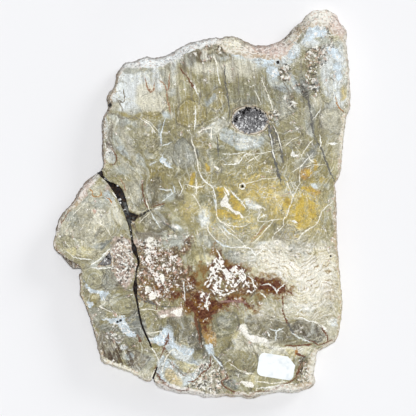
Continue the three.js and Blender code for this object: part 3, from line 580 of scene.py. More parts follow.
        (-58.5, -44), (-60.5, -33)]),
    ("pearl", 1, [(-34, -8), (-31, -8), (-31, -16), (-34, -19), (-36, -14)]),
    ("char", 1.2, [(-44, -18), (-38, -22), (-30, -20), (-26, -16), (-27, -23), (-36, -25.5), (-43, -24)]),
    ("fog", 0.6, [(-27, -22), (-20, -20), (-14, -22), (-10, -26), (-16, -30), (-25, -28)]),
    ("frost", 0.4, [(-22, -15), (-17, -14.6), (-14, -16), (-18, -16.8)]),
    ("ivory", 0.4, [(-35.4, -22.4), (-32.6, -22), (-32, -24.6), (-34.6, -25)]),
    ("amber", 0.5, [(-32, -22.6), (-28, -23), (-28, -25), (-31.6, -25)]),
    ("straw", 0.6, [(-4.6, -34.6), (1, -33.6), (7, -35.4), (6, -38.6), (0, -38.8), (-4, -37.4)]),
    # darker wood between the fracture and the heart, and between the hollow and the golden middle
    ("drab", 2.5, [(-42, -8), (-34, -5), (-27, -6), (-21, -11), (-21, -19), (-29, -20), (-38, -17)]),
    ("smoke", 2, [(-44, -20), (-36, -18), (-28, -21), (-26, -26), (-34, -28), (-42, -25)]),
    ("khaki", 2.5, [(-12, 18), (-4, 19), (4, 16), (8, 9), (4, 7), (-4, 8), (-11, 8), (-13, 13)]),
    ("moss", 3, [(6, 38), (14, 39), (18, 33), (18, 24), (12, 20), (6, 24), (5, 32)]),
    ("moss", 2, [(54, 18), (62, 18), (66, 13), (63, 7), (56, 7), (53, 12)]),
]

# Amounts of each texture: the amount and the patch.
TEXTURES = {
    # fibres that run from the rind inwards
    "fibres": [
        (1, -14, 80, 18, 24), (0.3, -46, 80, 18, 20), (0.9, 20, 84, 40, 20), (0.5, 70, 70, 26, 26),
        (0.6, -50, 45, 16, 24),
    ],
    # wavy beds of cream and brown
    "beds": [
        (1, 66, -46, 30, 20), (0.8, 40, -36, 16, 8), (0.7, 70, -70, 16, 10), (0.5, 50, -72, 20, 6),
        (0.6, 85, -60, 9, 26),
    ],
    # swirls of the golden middle
    "swirls": [
        (1, 66, -4, 16, 18), (0.9, 40, 4, 28, 18), (0.9, 20, -8, 20, 14), (0.4, 30, 24, 24, 8),
    ],
    # broken wood set in pale and dark grains
    "grains": [
        (0.95, 76, 98, 7, 8), (1, 74, 84, 3.6, 11, 12), (0.7, 84, 104, 5, 4), (0.9, 56, 88, 5, 6),
        (0.4, 6, 101, 13, 5), (0.9, -59, -89, 6, 2.5, -35), (1, 5, -116, 12, 12, 10),
        (0.9, 70, -114, 8, 11), (1, -52, -38, 8, 16, -8), (0.9, -35, -26, 8, 4, -10), (0.8, -62, 36, 4, 5),
        (0.2, 33, 37, 12, 4), (0.8, -64, 68, 3, 8), (0.6, 45, 103, 14, 5), (0.6, 83, 117, 8, 10),
        (0.5, -15, -23, 12, 6), (0.5, 62, 72, 6, 10), (0.7, 47, 58, 3, 5),
    ],
    # pinkish white specks in the rusty middle
    "specks": [
        (0.9, -29, -46, 14, 20), (1.3, -20, -39, 7, 6), (1.7, -35, -33, 4, 9, 10),
        (1.8, -28, -50, 4, 6, 20), (1.6, -33, -60, 4, 3), (0.7, -12, -50, 7, 12, 25), (0.5, 25, -66, 9, 3),
        (0.8, 1, -66, 3, 9),
    ],
    # the bold white web in the rusty middle
    "web": [
        (1, 14, -52, 12, 9), (1, 10, -41, 5, 7), (1, 25, -48, 7, 6, -20), (0.7, 31, -54, 5, 6),
        (0.8, 2, -64, 3, 6),
    ],
    # fine white cracks
    "crackle": [
        (1, 28, 6, 34, 28), (0.5, -5, 30, 24, 24), (0.6, 62, 20, 18, 20), (0.25, 20, 60, 40, 24),
    ],
    # painted shade on the rim's lower part, below about its widest line
    "outline": [
        (1, -20, 100, 90, 34), (1, -84, -20, 40, 90), (0.35, 0, -128, 92, 16), (0.3, 97, 0, 12, 104),
    ],
    # small curls and eyes
    "curls": [
        (1, -79, -12, 18, 22, 15), (0.7, -62, -62, 16, 10), (0.5, -46, 40, 16, 18), (0.4, 70, 56, 20, 16),
        (0.7, -14, -88, 20, 14), (0.6, 24, -100, 16, 14), (0.5, 88, 96, 8, 20), (0.7, -12, 34, 12, 16),
        (0.4, -40, 72, 18, 20),
    ],
    # rounded lumps with darker seams between them
    "lumps": [
        (1, -66, -56, 14, 16), (0.8, -20, -84, 22, 14), (0.6, -40, 36, 22, 20), (0.6, 40, -78, 22, 12),
        (0.8, 60, 76, 16, 14), (0.8, -12, 36, 10, 20), (0.6, -30, 6, 20, 14), (0.7, 14, -104, 16, 14),
        (0.5, 80, 50, 14, 20), (0.5, 34, 76, 14, 10), (0.5, -60, -96, 16, 12),
    ],
    # the grey collar over the round hollow
    "collar": [
        (1, 20, 64, 6, 6), (0.8, 30, 68, 10, 3), (0.6, 16, 54, 2, 6),
    ],
    # bluish grey chalcedony inside the fracture
    "blue inside": [
        (1, -50.2, -3.6, 1.8, 4, 15), (0.7, -47.4, -10.6, 1.8, 1.6), (0.9, -46.4, -22, 1.4, 4),
        (0.5, -43.6, -52, 1.2, 3),
    ],
    # places with plainer stone
    "calm": [
        (0.85, -50, 76, 13, 16), (0.8, -34, 70, 9, 11), (0.8, -10, 80, 12, 16, -10), (0.75, 18, 82, 20, 13),
        (0.85, -12, 60, 12, 11), (0.7, 22, -2, 12, 10), (0.5, 86, 56, 7, 9), (0.6, -15, 2, 12, 12),
        (0.6, -36, -14, 8, 9), (0.8, 75, 113, 8, 7), (0.7, 66, -45, 26, 18),
    ],
    # bands of the dark lower left
    "bands": [
        (1, -57, -101, 15, 9, -25), (0.7, 70, -86, 12, 6, -15), (0.5, -14, 96, 12, 5, 20),
    ],
}

# Veins, healed cracks and stained cracks: those under the rest, and those over them. Each has its colour,
# its full width in millimetres and the points of its middle line. Each level has a number of layers.
VEINS_UNDER = [
    ("dark", 1.6, [(71, 70), (71.6, 64), (73, 57), (73.8, 51)]),
    ("dark", 0.9, [(73.6, 52), (75, 45), (77.5, 40), (80, 36), (83, 28), (86, 20), (88.8, 13.5)]),
    ("dark", 0.9, [(15, 92), (15.6, 82), (17, 72), (18.4, 63), (18, 54)]),
    ("smoke", 0.7, [(24, 88), (24.5, 80), (24.6, 73)]),
    ("dark", 1.9, [(44, 54), (46, 46), (47, 40), (48, 31), (50.4, 23), (52, 15)]),
    ("dark", 1.4, [(48, 52), (50, 46), (52.4, 38), (54, 28)]),
    ("dark", 0.7, [(10, 45), (10.6, 38), (11, 32)]), ("smoke", 0.7, [(72, 99), (73.4, 96), (74, 93)]),
    ("smoke", 1, [(66, 94), (66.4, 91), (66, 87)]), ("smoke", 0.8, [(54, 82), (58, 74), (60, 66)]),
    ("smoke", 0.8, [(-63, 60), (-58, 60), (-53, 57), (-46, 58), (-38, 55)]),
    ("smoke", 0.7, [(8.6, 22), (10.4, 20.6), (12.8, 21.6), (13, 25)]),
    ("smoke", 1, [(-72, -80), (-68, -84), (-65, -87), (-61, -88), (-57, -91), (-52, -89), (-46, -89)]),
    ("smoke", 1, [(-22, -105), (-17, -110), (-11, -115)]),
    ("dark", 0.8, [(-26, -12), (-22, -15), (-18, -19)]),
    ("dark", 0.9, [(-46, -55), (-42, -62), (-36, -65.6), (-30, -67)]),
    ("dark", 1, [(-66.4, 20), (-64, 16.6), (-61.6, 13.8)]),
    ("dark", 0.7, [(-36, -64), (-28, -68), (-18, -68.6)]), ("brown", 0.7, [(-15, 91), (-13, 88), (-9, 84)]),
    ("brown", 1, [(-10, 84.6), (-7.5, 81), (-5.4, 77.6)]),
    ("tan", 1, [(-28, 82.4), (-25, 79.6), (-23.6, 76)]),
    ("tan", 0.9, [(-22, 86), (-21.8, 80), (-22.6, 76)]),
    ("tan", 0.8, [(-23.6, 76), (-23, 70), (-21.6, 64), (-21, 61)]),
    ("tan", 0.9, [(-37.6, 83), (-37, 78.6), (-35, 75.6), (-33.4, 74.6), (-32, 77), (-31.6, 80)]),
    ("smoke", 0.8, [(-52.6, 76), (-51.6, 71), (-53, 67.6), (-56, 69.6), (-54, 65), (-52.6, 61)]),
    ("smoke", 0.8, [(-61, 56), (-60, 51), (-62, 47), (-61, 42), (-59, 37)]),
    ("brown", 0.6, [(-59, 35), (-57, 31), (-58, 27), (-61, 26.4)]),
    ("tan", 0.7, [(-54.5, 17), (-52, 13), (-51, 9)]),
    ("brown", 0.8, [(-40, 15), (-39.4, 8), (-38, 1), (-35, -3.4)]),
    ("brown", 0.7, [(-33, -2), (-29, -0.6), (-25.6, 0)]),
    ("black", 1.2, [(-44, -9.4), (-40, -7), (-36, -4.6), (-33, -4)]),
    ("dark", 0.8, [(-33, -4), (-29, -3), (-26, -1.4)]),
    ("brown", 1, [(-30, -107), (-31, -111), (-29, -114.6), (-26, -118), (-22, -121), (-17, -124.4),
        (-13, -123.4), (-9.5, -124)]),
    ("black", 0.9, [(-17, -124.4), (-12, -123.6), (-9.4, -123.6), (-10, -120)]),
    ("brown", 0.9, [(-9, -118.4), (-5, -118), (-2, -115.6), (0, -112.6), (3, -110.6), (5.4, -107),
        (5.6, -102)]), ("smoke", 0.9, [(10, -104), (13, -107), (15, -110), (16.4, -114)]),
    ("brown", 0.9, [(16, -113), (17, -116), (13.6, -118), (14, -121), (18, -123.6), (24, -126.4),
        (28, -127.4), (31.5, -128.4), (34.6, -125.6)]),
    ("dark", 0.8, [(8, -101), (11, -103), (13.6, -107)]),
    ("brown", 0.8, [(36, -125), (45, -124.4), (50, -122.6), (54, -120.4), (60, -118), (63, -115.6)]),
    ("brown", 1.3, [(63, -115), (64.6, -111), (66, -106)]), ("umber", 1, [(66, -112), (67, -108)]),
    ("orange", 1.2, [(62.8, -96.6), (63, -98.6), (62.8, -100)]),
    ("brown", 0.9, [(63, -99.6), (66, -100.8), (68.5, -101.2)]),
    ("brown", 1.1, [(53, -58), (54, -65), (53.6, -71), (56, -77), (59.4, -83.6)]),
    ("dark", 1.4, [(57.6, -80), (59, -83), (61, -85.6)]),
    ("brown", 0.7, [(70, -90.6), (74, -92), (78, -94), (82, -92.6), (86, -90.6), (90, -91)]),
    ("brown", 1, [(79, -81), (82, -85), (83.6, -89), (84, -92)]),
    ("brown", 1, [(56, -94.2), (64, -94.6), (72, -93.6)]),
    ("brown", 1.2, [(-4.4, -75), (-2.4, -84), (-1.4, -92)]),
    ("umber", 1.4, [(-2, -78), (-0.6, -88), (0.4, -96)]), ("brown", 1, [(-5, -72), (-4.6, -78), (-3, -84)]),
    ("orange", 0.8, [(89, 71), (89.6, 67.6), (91.6, 64), (95, 60.4)]),
    ("brown", 0.8, [(93, 62), (96, 59), (95.4, 54)]), ("tan", 0.7, [(33, -24.6), (38, -19), (42.6, -15)]),
    ("orange", 0.7, [(-75.6, 11), (-73, 8), (-73.4, 6), (-70, 4.6), (-67.4, 6), (-68, 9)]),
    ("orange", 0.6, [(-64, 4.4), (-61.6, 3), (-60.4, 0.4)]),
    ("brown", 0.7, [(-79, 10), (-84, 2), (-90, -7), (-95, -15)]),
    # painted shadow: this black line along the step at the lower left stands for the shadow of its undercut
    ("black", 1.1, [(-94, -34.6), (-90, -37), (-85.6, -39.4), (-82, -41)]),
    ("brown", 0.7, [(-98.4, -26), (-96, -31), (-92, -34)]), ("brown", 1.2, [(-42.5, -88), (-41.4, -91)]),
    ("smoke", 0.8, [(-61, -44), (-59, -50), (-54, -55), (-47.6, -58.6)]),
    ("brown", 0.8, [(-31, -71), (-29.6, -68), (-31, -66)]),
    ("brown", 0.9, [(48, -60), (52, -58), (57, -58), (60, -60)]),
    ("brown", 1.6, [(-25.4, -97), (-24, -93), (-22.6, -88)]),
    ("brown", 0.8, [(-28, -103), (-26.6, -100), (-25, -96)]), ("smoke", 0.8, [(-1, 74), (-2, 66)]),
    ("brown", 0.6, [(96, 40), (94, 28), (91.6, 18)]),
]
VEINS_OVER = [
    ("blue white", 0.7, [(-24.6, 56), (-26, 51), (-27.4, 46), (-26.8, 41)]),
    ("blue white", 1.1, [(-26, 32), (-25.6, 28), (-23, 25), (-20.6, 24)]),
    ("white", 0.8, [(-25.6, 28), (-24, 26)]), ("blue white", 0.6, [(-19, 11), (-18, 8)]),
    ("frost", 0.9, [(-28, 10), (-24, 9.4), (-21, 9.4), (-19.6, 7)]),
    ("frost", 0.8, [(-19.6, 7), (-23, 4.6), (-26, 2)]), ("white", 0.6, [(-15, 14.6), (-13, 10), (-15, 6)]),
    ("blue white", 0.8, [(-34, 26.6), (-32, 27.4)]),
    ("blue white", 1.2, [(9, -23.6), (13, -27), (19, -29)]),
    ("blue white", 0.9, [(8.4, 3), (9.4, 0.6), (9, -3)]), ("blue white", 0.6, [(-46, -57), (-43.4, -55)]),
    ("blue white", 0.5, [(-45, -60), (-44, -57)]),
    ("blue white", 1, [(7.4, -101), (9.6, -104), (13, -107.6)]),
    ("white", 0.7, [(-4.2, 65), (-4.6, 58), (-5, 50)]),
    ("cream", 0.7, [(-7, 44), (-6.4, 41), (-5, 37), (-4, 32.6), (-3, 28), (-2.2, 22.6), (0, 18)]),
    ("white", 0.7, [(-1.4, 20), (0.6, 16.8), (4, 13.4), (7, 10.8), (8.3, 7), (9.6, 2)]),
    ("cream", 0.6, [(9.6, 2), (9.2, -3), (10, -8), (13, -12), (19, -14.4), (27, -15), (31, -13)]),
    ("cream", 0.6, [(-10.6, 12.8), (-6, 11.8), (-2, 11.4), (1, 12.6)]), ("cream", 0.5, [(-4, 16), (-4, 6)]),
    ("cream", 0.6, [(-7, 6.5), (-4.5, 4.5), (-2.5, 1), (-0.6, -3.6)]),
    ("cream", 0.9, [(4, -12), (3.6, -16.6), (6, -20.6), (9, -23.6)]),
    ("white", 0.7, [(19, -29), (29, -28.6), (33, -31), (35.6, -34), (38, -32.6), (41.6, -29.6), (45, -31),
        (48, -35)]), ("frost", 0.9, [(14, -15.6), (17, -18), (20, -20)]),
    ("cream", 0.5, [(20, -20), (24, -23), (30, -29)]), ("cream", 0.5, [(10, -14), (14, -18), (18, -23)]),
    ("cream", 0.5, [(11, -11), (17, -15), (22, -19)]), ("white", 0.6, [(14.6, 9), (16.6, 5)]),
    ("white", 0.9, [(20, 8), (24, 4), (27, 0.6), (29, -2)]),
    ("cream", 0.6, [(28, 12.8), (32, 14.2), (36, 15), (41, 17), (45, 16.6), (50, 17.6)]),
    ("white", 0.8, [(25.1, 11.8), (26.2, 10), (28.2, 10.4), (28.8, 12), (27.4, 13.8), (25.6, 13.4),
        (25.1, 11.8)]), ("cream", 0.8, [(8, 98.6), (9.6, 93.6)]),
    ("white", 0.7, [(10.2, 91), (11, 85), (12.4, 80)]),
    ("cream", 0.7, [(39.6, 84), (43, 75.6), (45, 69.6), (47.6, 63)]),
    ("cream", 0.5, [(35.4, 75.4), (38, 70), (39.4, 66.6)]),
    ("white", 0.5, [(45.4, 47), (46.6, 42), (47.4, 34)]), ("white", 0.6, [(47.4, 36), (48.6, 30.4)]),
    ("cream", 0.5, [(48, 52), (50.6, 46), (53, 36)]), ("cream", 0.6, [(65.4, 24), (65, 18), (65.2, 13.6)]),
    ("cream", 0.7, [(65.2, 13.6), (62, 8), (60, 3), (58, -3), (56.6, -7.6), (54.6, -10), (54.6, -14)]),
    ("cream", 0.6, [(54, -15), (50.6, -18), (48, -21), (46.8, -24.6)]),
    ("white", 1.4, [(60, -11.8), (62, -12.2)]),
    ("cream", 0.7, [(88, 2), (84, -1), (80, -5), (78, -10), (75, -14), (70, -17.6), (66, -21), (64, -25)]),
    ("cream", 0.5, [(40, -5), (38, -8), (37.5, -11), (42, -12), (48, -10.4), (53, -10)]),
    ("cream", 0.5, [(43, -12.5), (39, -16), (36, -21)]), ("cream", 0.5, [(47, -12), (41, -19), (34, -26)]),
    ("cream", 0.5, [(60, 6), (57, 14)]), ("white", 0.6, [(14.6, 33.4), (22, 33.2), (28, 34.2)]),
    ("white", 0.6, [(14, 26.4), (22, 26.6), (25, 27.6), (28.6, 32.6), (31, 34)]),
    ("cream", 0.5, [(31, 28), (36, 31), (39, 33)]), ("cream", 0.5, [(33, 33), (40, 34), (46, 35)]),
    ("cream", 0.9, [(-2, 48.4), (2, 50), (6, 50.8)]), ("cream", 0.6, [(6.4, 50), (6.6, 44)]),
    ("frost", 0.9, [(-25, 39.6), (-22, 40.4), (-20.6, 41)]),
    ("white", 0.8, [(79, 45), (79.4, 41), (78.4, 38)]), ("cream", 0.5, [(64, 44.6), (60, 42.6), (56, 39)]),
    ("cream", 0.6, [(66.6, 33), (70, 38), (73.6, 42)]), ("white", 0.5, [(66, 25), (70, 30), (74, 34)]),
    ("cream", 0.5, [(60, 21), (64, 24), (68, 27)]), ("cream", 0.5, [(70, 34), (72, 30), (75, 28)]),
    ("cream", 0.4, [(69, 25), (76, 26), (82, 26)]), ("white", 1.3, [(86, 40.3), (88.6, 40.3)]),
    ("white", 0.8, [(60.4, 35), (61, 31.6), (63.6, 32.6)]),
    ("frost", 0.7, [(60, -86), (64, -88.6), (69, -90.8), (72, -92)]),
    ("white", 0.7, [(65, -75.6), (70, -77.4), (76, -79.6), (80, -82)]),
    ("white", 0.9, [(80, -81), (82.6, -83.6)]), ("cream", 0.5, [(73, -78), (79, -80), (83, -83)]),
    ("white", 0.8, [(-32.9, -96.4), (-30.6, -100.6), (-29.2, -104), (-29, -107.5)]),
    ("cream", 0.7, [(-20.6, -98), (-24, -103), (-26, -108), (-26, -112)]),
    ("cream", 0.8, [(-34, -119), (-33, -114), (-30.6, -110)]),
    ("cream", 0.5, [(-38, -86), (-31, -85.6), (-27, -85)]),
    ("cream", 0.5, [(-68, -68), (-65, -70), (-61, -72)]),
    ("cream", 0.6, [(-42, -71), (-36, -70), (-30, -71)]),
    ("cream", 0.6, [(-66, -62), (-65, -66), (-68, -68)]), ("white", 0.9, [(-5, 79), (-2.6, 73)]),
    ("cream", 0.5, [(-41, 57), (-35, 53), (-31, 48)]), ("cream", 0.4, [(-39, 57), (-33, 53), (-29, 48)]),
    ("white", 0.9, [(41, -54), (44, -53.4), (47, -55), (49, -57), (50, -59.6)]),
    ("white", 0.9, [(50, -59), (52, -56), (54.4, -54)]), ("white", 1, [(40, -60), (42, -62)]),
    ("white", 0.5, [(-12, -52), (-11.4, -64)]), ("frost", 0.8, [(45.3, -83), (49.5, -84.4), (53.7, -83)]),
    ("frost", 0.8, [(49.5, -84.4), (49.5, -89.8)]), ("white", 1.2, [(44, -86), (44.6, -87)]),
    ("white", 0.8, [(12, -35), (11, -39), (7.6, -43), (5, -49)]), ("white", 0.8, [(10, -31), (12, -35)]),
    ("white", 0.7, [(9, -41), (14, -44), (16, -49), (20, -51)]),
    ("white", 0.8, [(17, -45.6), (23, -46.6), (26, -44)]),
    ("white", 0.6, [(5, -49), (10, -50), (9, -56), (14, -58)]),
    ("white", 0.7, [(26, -44), (29, -48), (25, -52)]), ("white", 0.6, [(6, -57), (14, -60), (22, -58)]),
    ("white", 0.6, [(31, -48), (34, -51), (35, -56)]), ("white", 0.8, [(5, -60), (3, -65), (4, -70)]),
    ("cream", 1, [(28.6, -112.6), (33.6, -113.4)]), ("cream", 0.5, [(18, -106), (24, -110), (30, -112)]),
    ("cream", 0.6, [(36, -118), (46, -119.6), (56, -118.6)]),
    ("white", 0.7, [(38, -123), (50, -121.4), (60, -119.6)]),
    ("cream", 0.6, [(60, -62), (64, -66), (70, -68)]), ("white", 0.7, [(63, -74), (66, -70), (70, -70)]),
    ("white", 0.5, [(-91, -31), (-86, -35), (-80, -36.6), (-74, -37)]),
    ("white", 0.8, [(-73.4, -40.6), (-68, -36.6), (-61.6, -29.8)]),
    ("white", 0.8, [(-73, -42.4), (-66, -43), (-59.6, -42)]),
    ("white", 0.6, [(-60.6, -30), (-60, -36), (-59.4, -42)]),
    ("white", 0.7, [(-60, 7.6), (-57.6, 5), (-55.8, 3)]), ("white", 0.6, [(-47.6, -18), (-47.4, -21)]),
    ("white", 0.6, [(-46.6, -29), (-46.2, -31.6)]), ("white", 0.8, [(-54, -38), (-50, -42), (-53, -45)]),
    ("white", 0.8, [(-56, -34), (-51, -37)]), ("white", 0.6, [(-50, -33), (-46.6, -36)]),
    ("white", 0.7, [(-30.6, -3.4), (-28.4, -2.6)]), ("cream", 0.6, [(-41, -12), (-38.6, -9), (-36, -7)]),
    ("cream", 0.6, [(-37.6, 3), (-36, -1), (-35, -4)]), ("frost", 0.7, [(-34, -6), (-31, -11), (-28, -15)]),
    ("cream", 0.5, [(-86, -7), (-81, -2), (-76, 2)]), ("cream", 0.5, [(-70, -12), (-64, -16), (-60, -22)]),
    ("white", 1.2, [(61, 67.6), (62, 67.4)]), ("white", 1, [(14, 57.4), (14.6, 56.8)]),
    ("lilac", 1.2, [(12, -65.4), (20, -64.6), (29, -66)]), ("dark", 1, [(53.2, -4.2), (53.8, -4)]),
    ("white", 0.7, [(78, 62), (75, 58)]),
]
VEIN_LEVELS = {"under": (VEINS_UNDER, 5), "over": (VEINS_OVER, 6)}
VEIN_ROOM = 2.5  # millimetres that two veins of one layer are kept apart, where there is room

# The fields are worked out at the mesh's corners, at places nudged by noise so that no bank or vein
# runs as smoothly as it was drawn.
count = len(slab_mesh.vertices)
corners = np.zeros(count * 3)
slab_mesh.vertices.foreach_get("co", corners)
corners = corners.reshape(-1, 3) / MM
drawn = corners[:, :2]

# The noise is seeded, so that every run gives the same stone.
noise.seed_set(2)


def nudged(places, reach, length, seed):
    """Places moved by smooth noise, up to about a reach and over a length, all in millimetres."""
    return places + reach * np.array(
        [noise.noise_vector(Vector((x / length, y / length, seed)))[:2] for x, y in places]
    )


rough_places = nudged(nudged(drawn, 2.2, 10, 1.5), 1.1, 3.2, 4.5)
vein_places = nudged(nudged(drawn, 0.5, 5, 8.5), 0.25, 1.7, 12.5)
form_places = nudged(nudged(drawn, 0.9, 6, 2.5), 0.6, 2.1, 6.5)
egg_places = nudged(rough_places, 3, 13, 3.5)


def smooth_line(points, closed=False, pieces=4):
    """A rounded line through the points, as a Catmull-Rom spline."""
    points = np.array(points, float)
    if len(points) < 3:
        return points
    ends = (points[-1:], points[:2]) if closed else (points[:1], points[-1:])
    padded = np.vstack([ends[0], points, ends[1]])
    line = []
    for i in range(len(padded) - 3):
        a, b, c, d = padded[i : i + 4]
        for t in np.arange(pieces) / pieces:
            line.append(0.5 * (
                2 * b + (c - a) * t + (2 * a - 5 * b + 4 * c - d) * t**2 + (3 * b - a - 3 * c + d) * t**3
            ))
    if not closed:
        line.append(points[-1])
    return np.array(line)


def to_segments(places, starts, ends):
    """For each place: distance to the nearest segment, its index, and the side, +1 on its left."""
    along = ends - starts
    offset = places[:, None] - starts[None]
    share = np.clip((offset * along).sum(2) / np.maximum((along**2).sum(1), 1e-9), 0, 1)
    gap = offset - share[:, :, None] * along
    distance = np.sqrt((gap**2).sum(2))
    nearest = distance.argmin(1)
    rows = np.arange(len(places))
    side = along[nearest, 0] * offset[rows, nearest, 1] - along[nearest, 1] * offset[rows, nearest, 0]
    return distance[rows, nearest], nearest, np.where(side >= 0, 1.0, -1.0)


def near_box(places, line, margin):
    """Which places lie in the box round a line, or within a margin of it."""
    return np.flatnonzero(((places > line.min(0) - margin) & (places < line.max(0) + margin)).all(1))


def to_bank_of(outline, places, reach):
    """Which places lie near an outline, and their signed distance to it, positive inside."""
    line = smooth_line(outline, closed=True)
    close = near_box(places, line, reach)
    signed = np.zeros(len(close))
    starts, ends = line, np.roll(line, -1, 0)
    rise = np.where(ends[:, 1] == starts[:, 1], 1e-9, ends[:, 1] - starts[:, 1])
    for part in np.array_split(np.arange(len(close)), max(1, len(close) // 20000)):
        near = places[close[part]]
        distance = to_segments(near, starts, ends)[0]
        crossing = (starts[None, :, 1] > near[:, None, 1]) != (ends[None, :, 1] > near[:, None, 1])
        reach_x = starts[:, 0] + (near[:, None, 1] - starts[:, 1]) * (ends[:, 0] - starts[:, 0]) / rise
        inside = (crossing & (near[:, None, 0] < reach_x)).sum(1) % 2 == 1
        signed[part] = np.where(inside, 1, -1) * distance
    return close, signed


def island_field(outlines, reach=8.0):
    """Signed distance to the nearest bank in millimetres, positive inside, no more than a reach."""
    field = np.full(count, -reach)
    for outline in outlines:
        close, signed = to_bank_of(outline, rough_places, reach)
        field[close] = np.maximum(field[close], np.clip(signed, -reach, reach))
    return field


def cos_sin(turn):
    """The cosine and sine of a turn in degrees."""
    return math.cos(math.radians(turn)), math.sin(math.radians(turn))


def in_patch(places, x, y, half_width, half_length, turn=0):
    """Places measured across and along a patch: 0 in its middle, 1 at its edge."""
    cos, sin = cos_sin(turn)
    dx, dy = places[:, 0] - x, places[:, 1] - y
    return (dx * cos + dy * sin) / half_width, (dy * cos - dx * sin) / half_length


def patch_weight(*patch):
    """A soft patch's weight at each rough place: 1 in its middle, a half at its edge."""
    u, v = in_patch(rough_places, *patch)
    return 1 / (1 + (u * u + v * v) ** 3)


def laid_over(below, mineral, weight):
    """A mineral's colour laid over what lies below it, by weight."""
    return below + weight[:, None] * (np.array([*linear(MINERALS[mineral]), 1]) - below)


def add_field(name, values):
    held = slab_mesh.attributes.new(name, "FLOAT", "POINT").data
    held.foreach_set("value", np.asarray(values, np.float32))


def add_colours(name, colours):
    held = slab_mesh.attributes.new(name, "FLOAT_COLOR", "POINT").data
    held.foreach_set("color", colours.ravel().astype(np.float32))


ground = np.zeros((count, 4))
for mineral, strength, *patch in CLOUDS:
    ground = laid_over(ground, mineral, strength * patch_weight(*patch))
rings = np.full(count, 2.0)
for mineral, *patch in EGGS:
    out = np.hypot(*in_patch(egg_places, *patch))
    inwards = (1 - out) * min(patch[2:4])
    for name, weight in (
        (mineral, 0.85 * np.clip(inwards / 1.2 + 0.5, 0, 1)),
        ("pearl", 0.3 * np.clip(1 - out / 0.7, 0, 1)),
        ("char", 0.45 * np.exp(-((inwards / 0.7) ** 2))),
    ):
        ground = laid_over(ground, name, weight)
    rings = np.where(out < 1.1, out, rings)
add_field("rings", rings)
for mineral, softness, outline in FORMS:
    close, signed = to_bank_of(outline, form_places, softness + 1)
    weight = 0.9 * np.clip(signed / softness + 0.5, 0, 1)
    ground[close] = laid_over(ground[close], mineral, weight)
add_colours("ground", ground)

for kind, outlines in ISLANDS.items():
    add_field(kind, island_field(outlines))

for kind, patches in TEXTURES.items():
    amount = np.zeros(count)
    for strength, *patch in patches:
        amount = np.maximum(amount, strength * patch_weight(*patch))
    add_field(kind, amount)

# Height across the grain, in millimetres: lines along which it stays the same follow the wood's fibres.
# Each patch has the way its fibres run, in degrees. Round some middles the fibres run in rings.
GRAIN = [
    (100, 0, 0, 140, 140), (92, -45, 75, 24, 24), (118, -8, 80, 14, 24), (104, 14, 78, 12, 24),
    (111, 42, 76, 16, 22), (122, 66, 74, 12, 20), (106, 80, 50, 12, 30), (92, 90, 80, 8, 30),
    (124, -48, 38, 18, 20), (100, -30, 8, 12, 14), (108, -5, 30, 16, 24), (10, 30, 28, 24, 12),
    (52, 60, 25, 12, 18), (15, 50, 4, 14, 14), (72, 68, -5, 10, 14), (42, 40, -18, 16, 8, 40),
    (60, -80, -12, 20, 24), (-8, -60, -64, 22, 10), (62, -60, -95, 18, 16), (-40, -15, -112, 20, 12),
    (-25, 22, -102, 16, 12), (-12, 48, -86, 26, 10), (70, -28, -15, 14, 10), (-20, 70, -84, 14, 8),
]
total, across_grain = np.zeros(count), np.zeros(count)
for heading, *patch in GRAIN:
    weight = patch_weight(*patch) + 1e-3
    cos, sin = cos_sin(heading)
    dx, dy = (rough_places - patch[:2]).T
    across_grain += weight * (dy * cos - dx * sin)
    total += weight
for x, y, squash, reach in ((22, -4, 0.62, 22), (-33, -12, 1, 9), (15, -78, 1, 10), (-72, -50, 0.8, 9)):
    away = np.hypot(rough_places[:, 0] - x, (rough_places[:, 1] - y) / squash)
    weight = 6 * np.clip(1.4 - away / reach, 0, 1)
    across_grain += weight * away
    total += weight
add_field("across_grain", across_grain / total)

# Height up the cream beds, which dip round the grey tongue on the right.
x, y = rough_places.T
dip, bulge = np.exp(-(((x - 62) / 13) ** 2)), np.exp(-(((x - 84) / 9) ** 2))
add_field("bed_height", y + 9 * dip - 5 * bulge + 0.1 * x)

# Veins: each layer holds, for the nearest of its veins, the distance to its middle line in half
# widths, with a sign for the side, and its colour, whose fourth part says how surely a place is by that
# vein. Veins that would meet go to different layers, because a sign can follow only one of them.
VEIN_COLOURS = {
    "white": (246, 246, 240), "blue white": (226, 233, 235), "cream": (241, 238, 226),
    "brown": (130, 96, 76), "tan": (172, 142, 118), "lilac": (160, 130, 124), "umber": (104, 92, 76),
    "dark": (122, 121, 117), "black": (52, 47, 46), "orange": (186, 144, 96), "frost": (230, 235, 233),
    "smoke": (150, 145, 133),
}
cell = np.where(corners[:, 2] > 1, POLISHED_CELL, SAWN_CELL) / MM


def least_gap(line, layer):
    """How near a line comes to the veins of a layer, in millimetres."""
    gaps = [np.hypot(*(line[:, None] - other[None]).transpose(2, 0, 1)).min() for _, _, other in layer]
    return min(gaps, default=99)


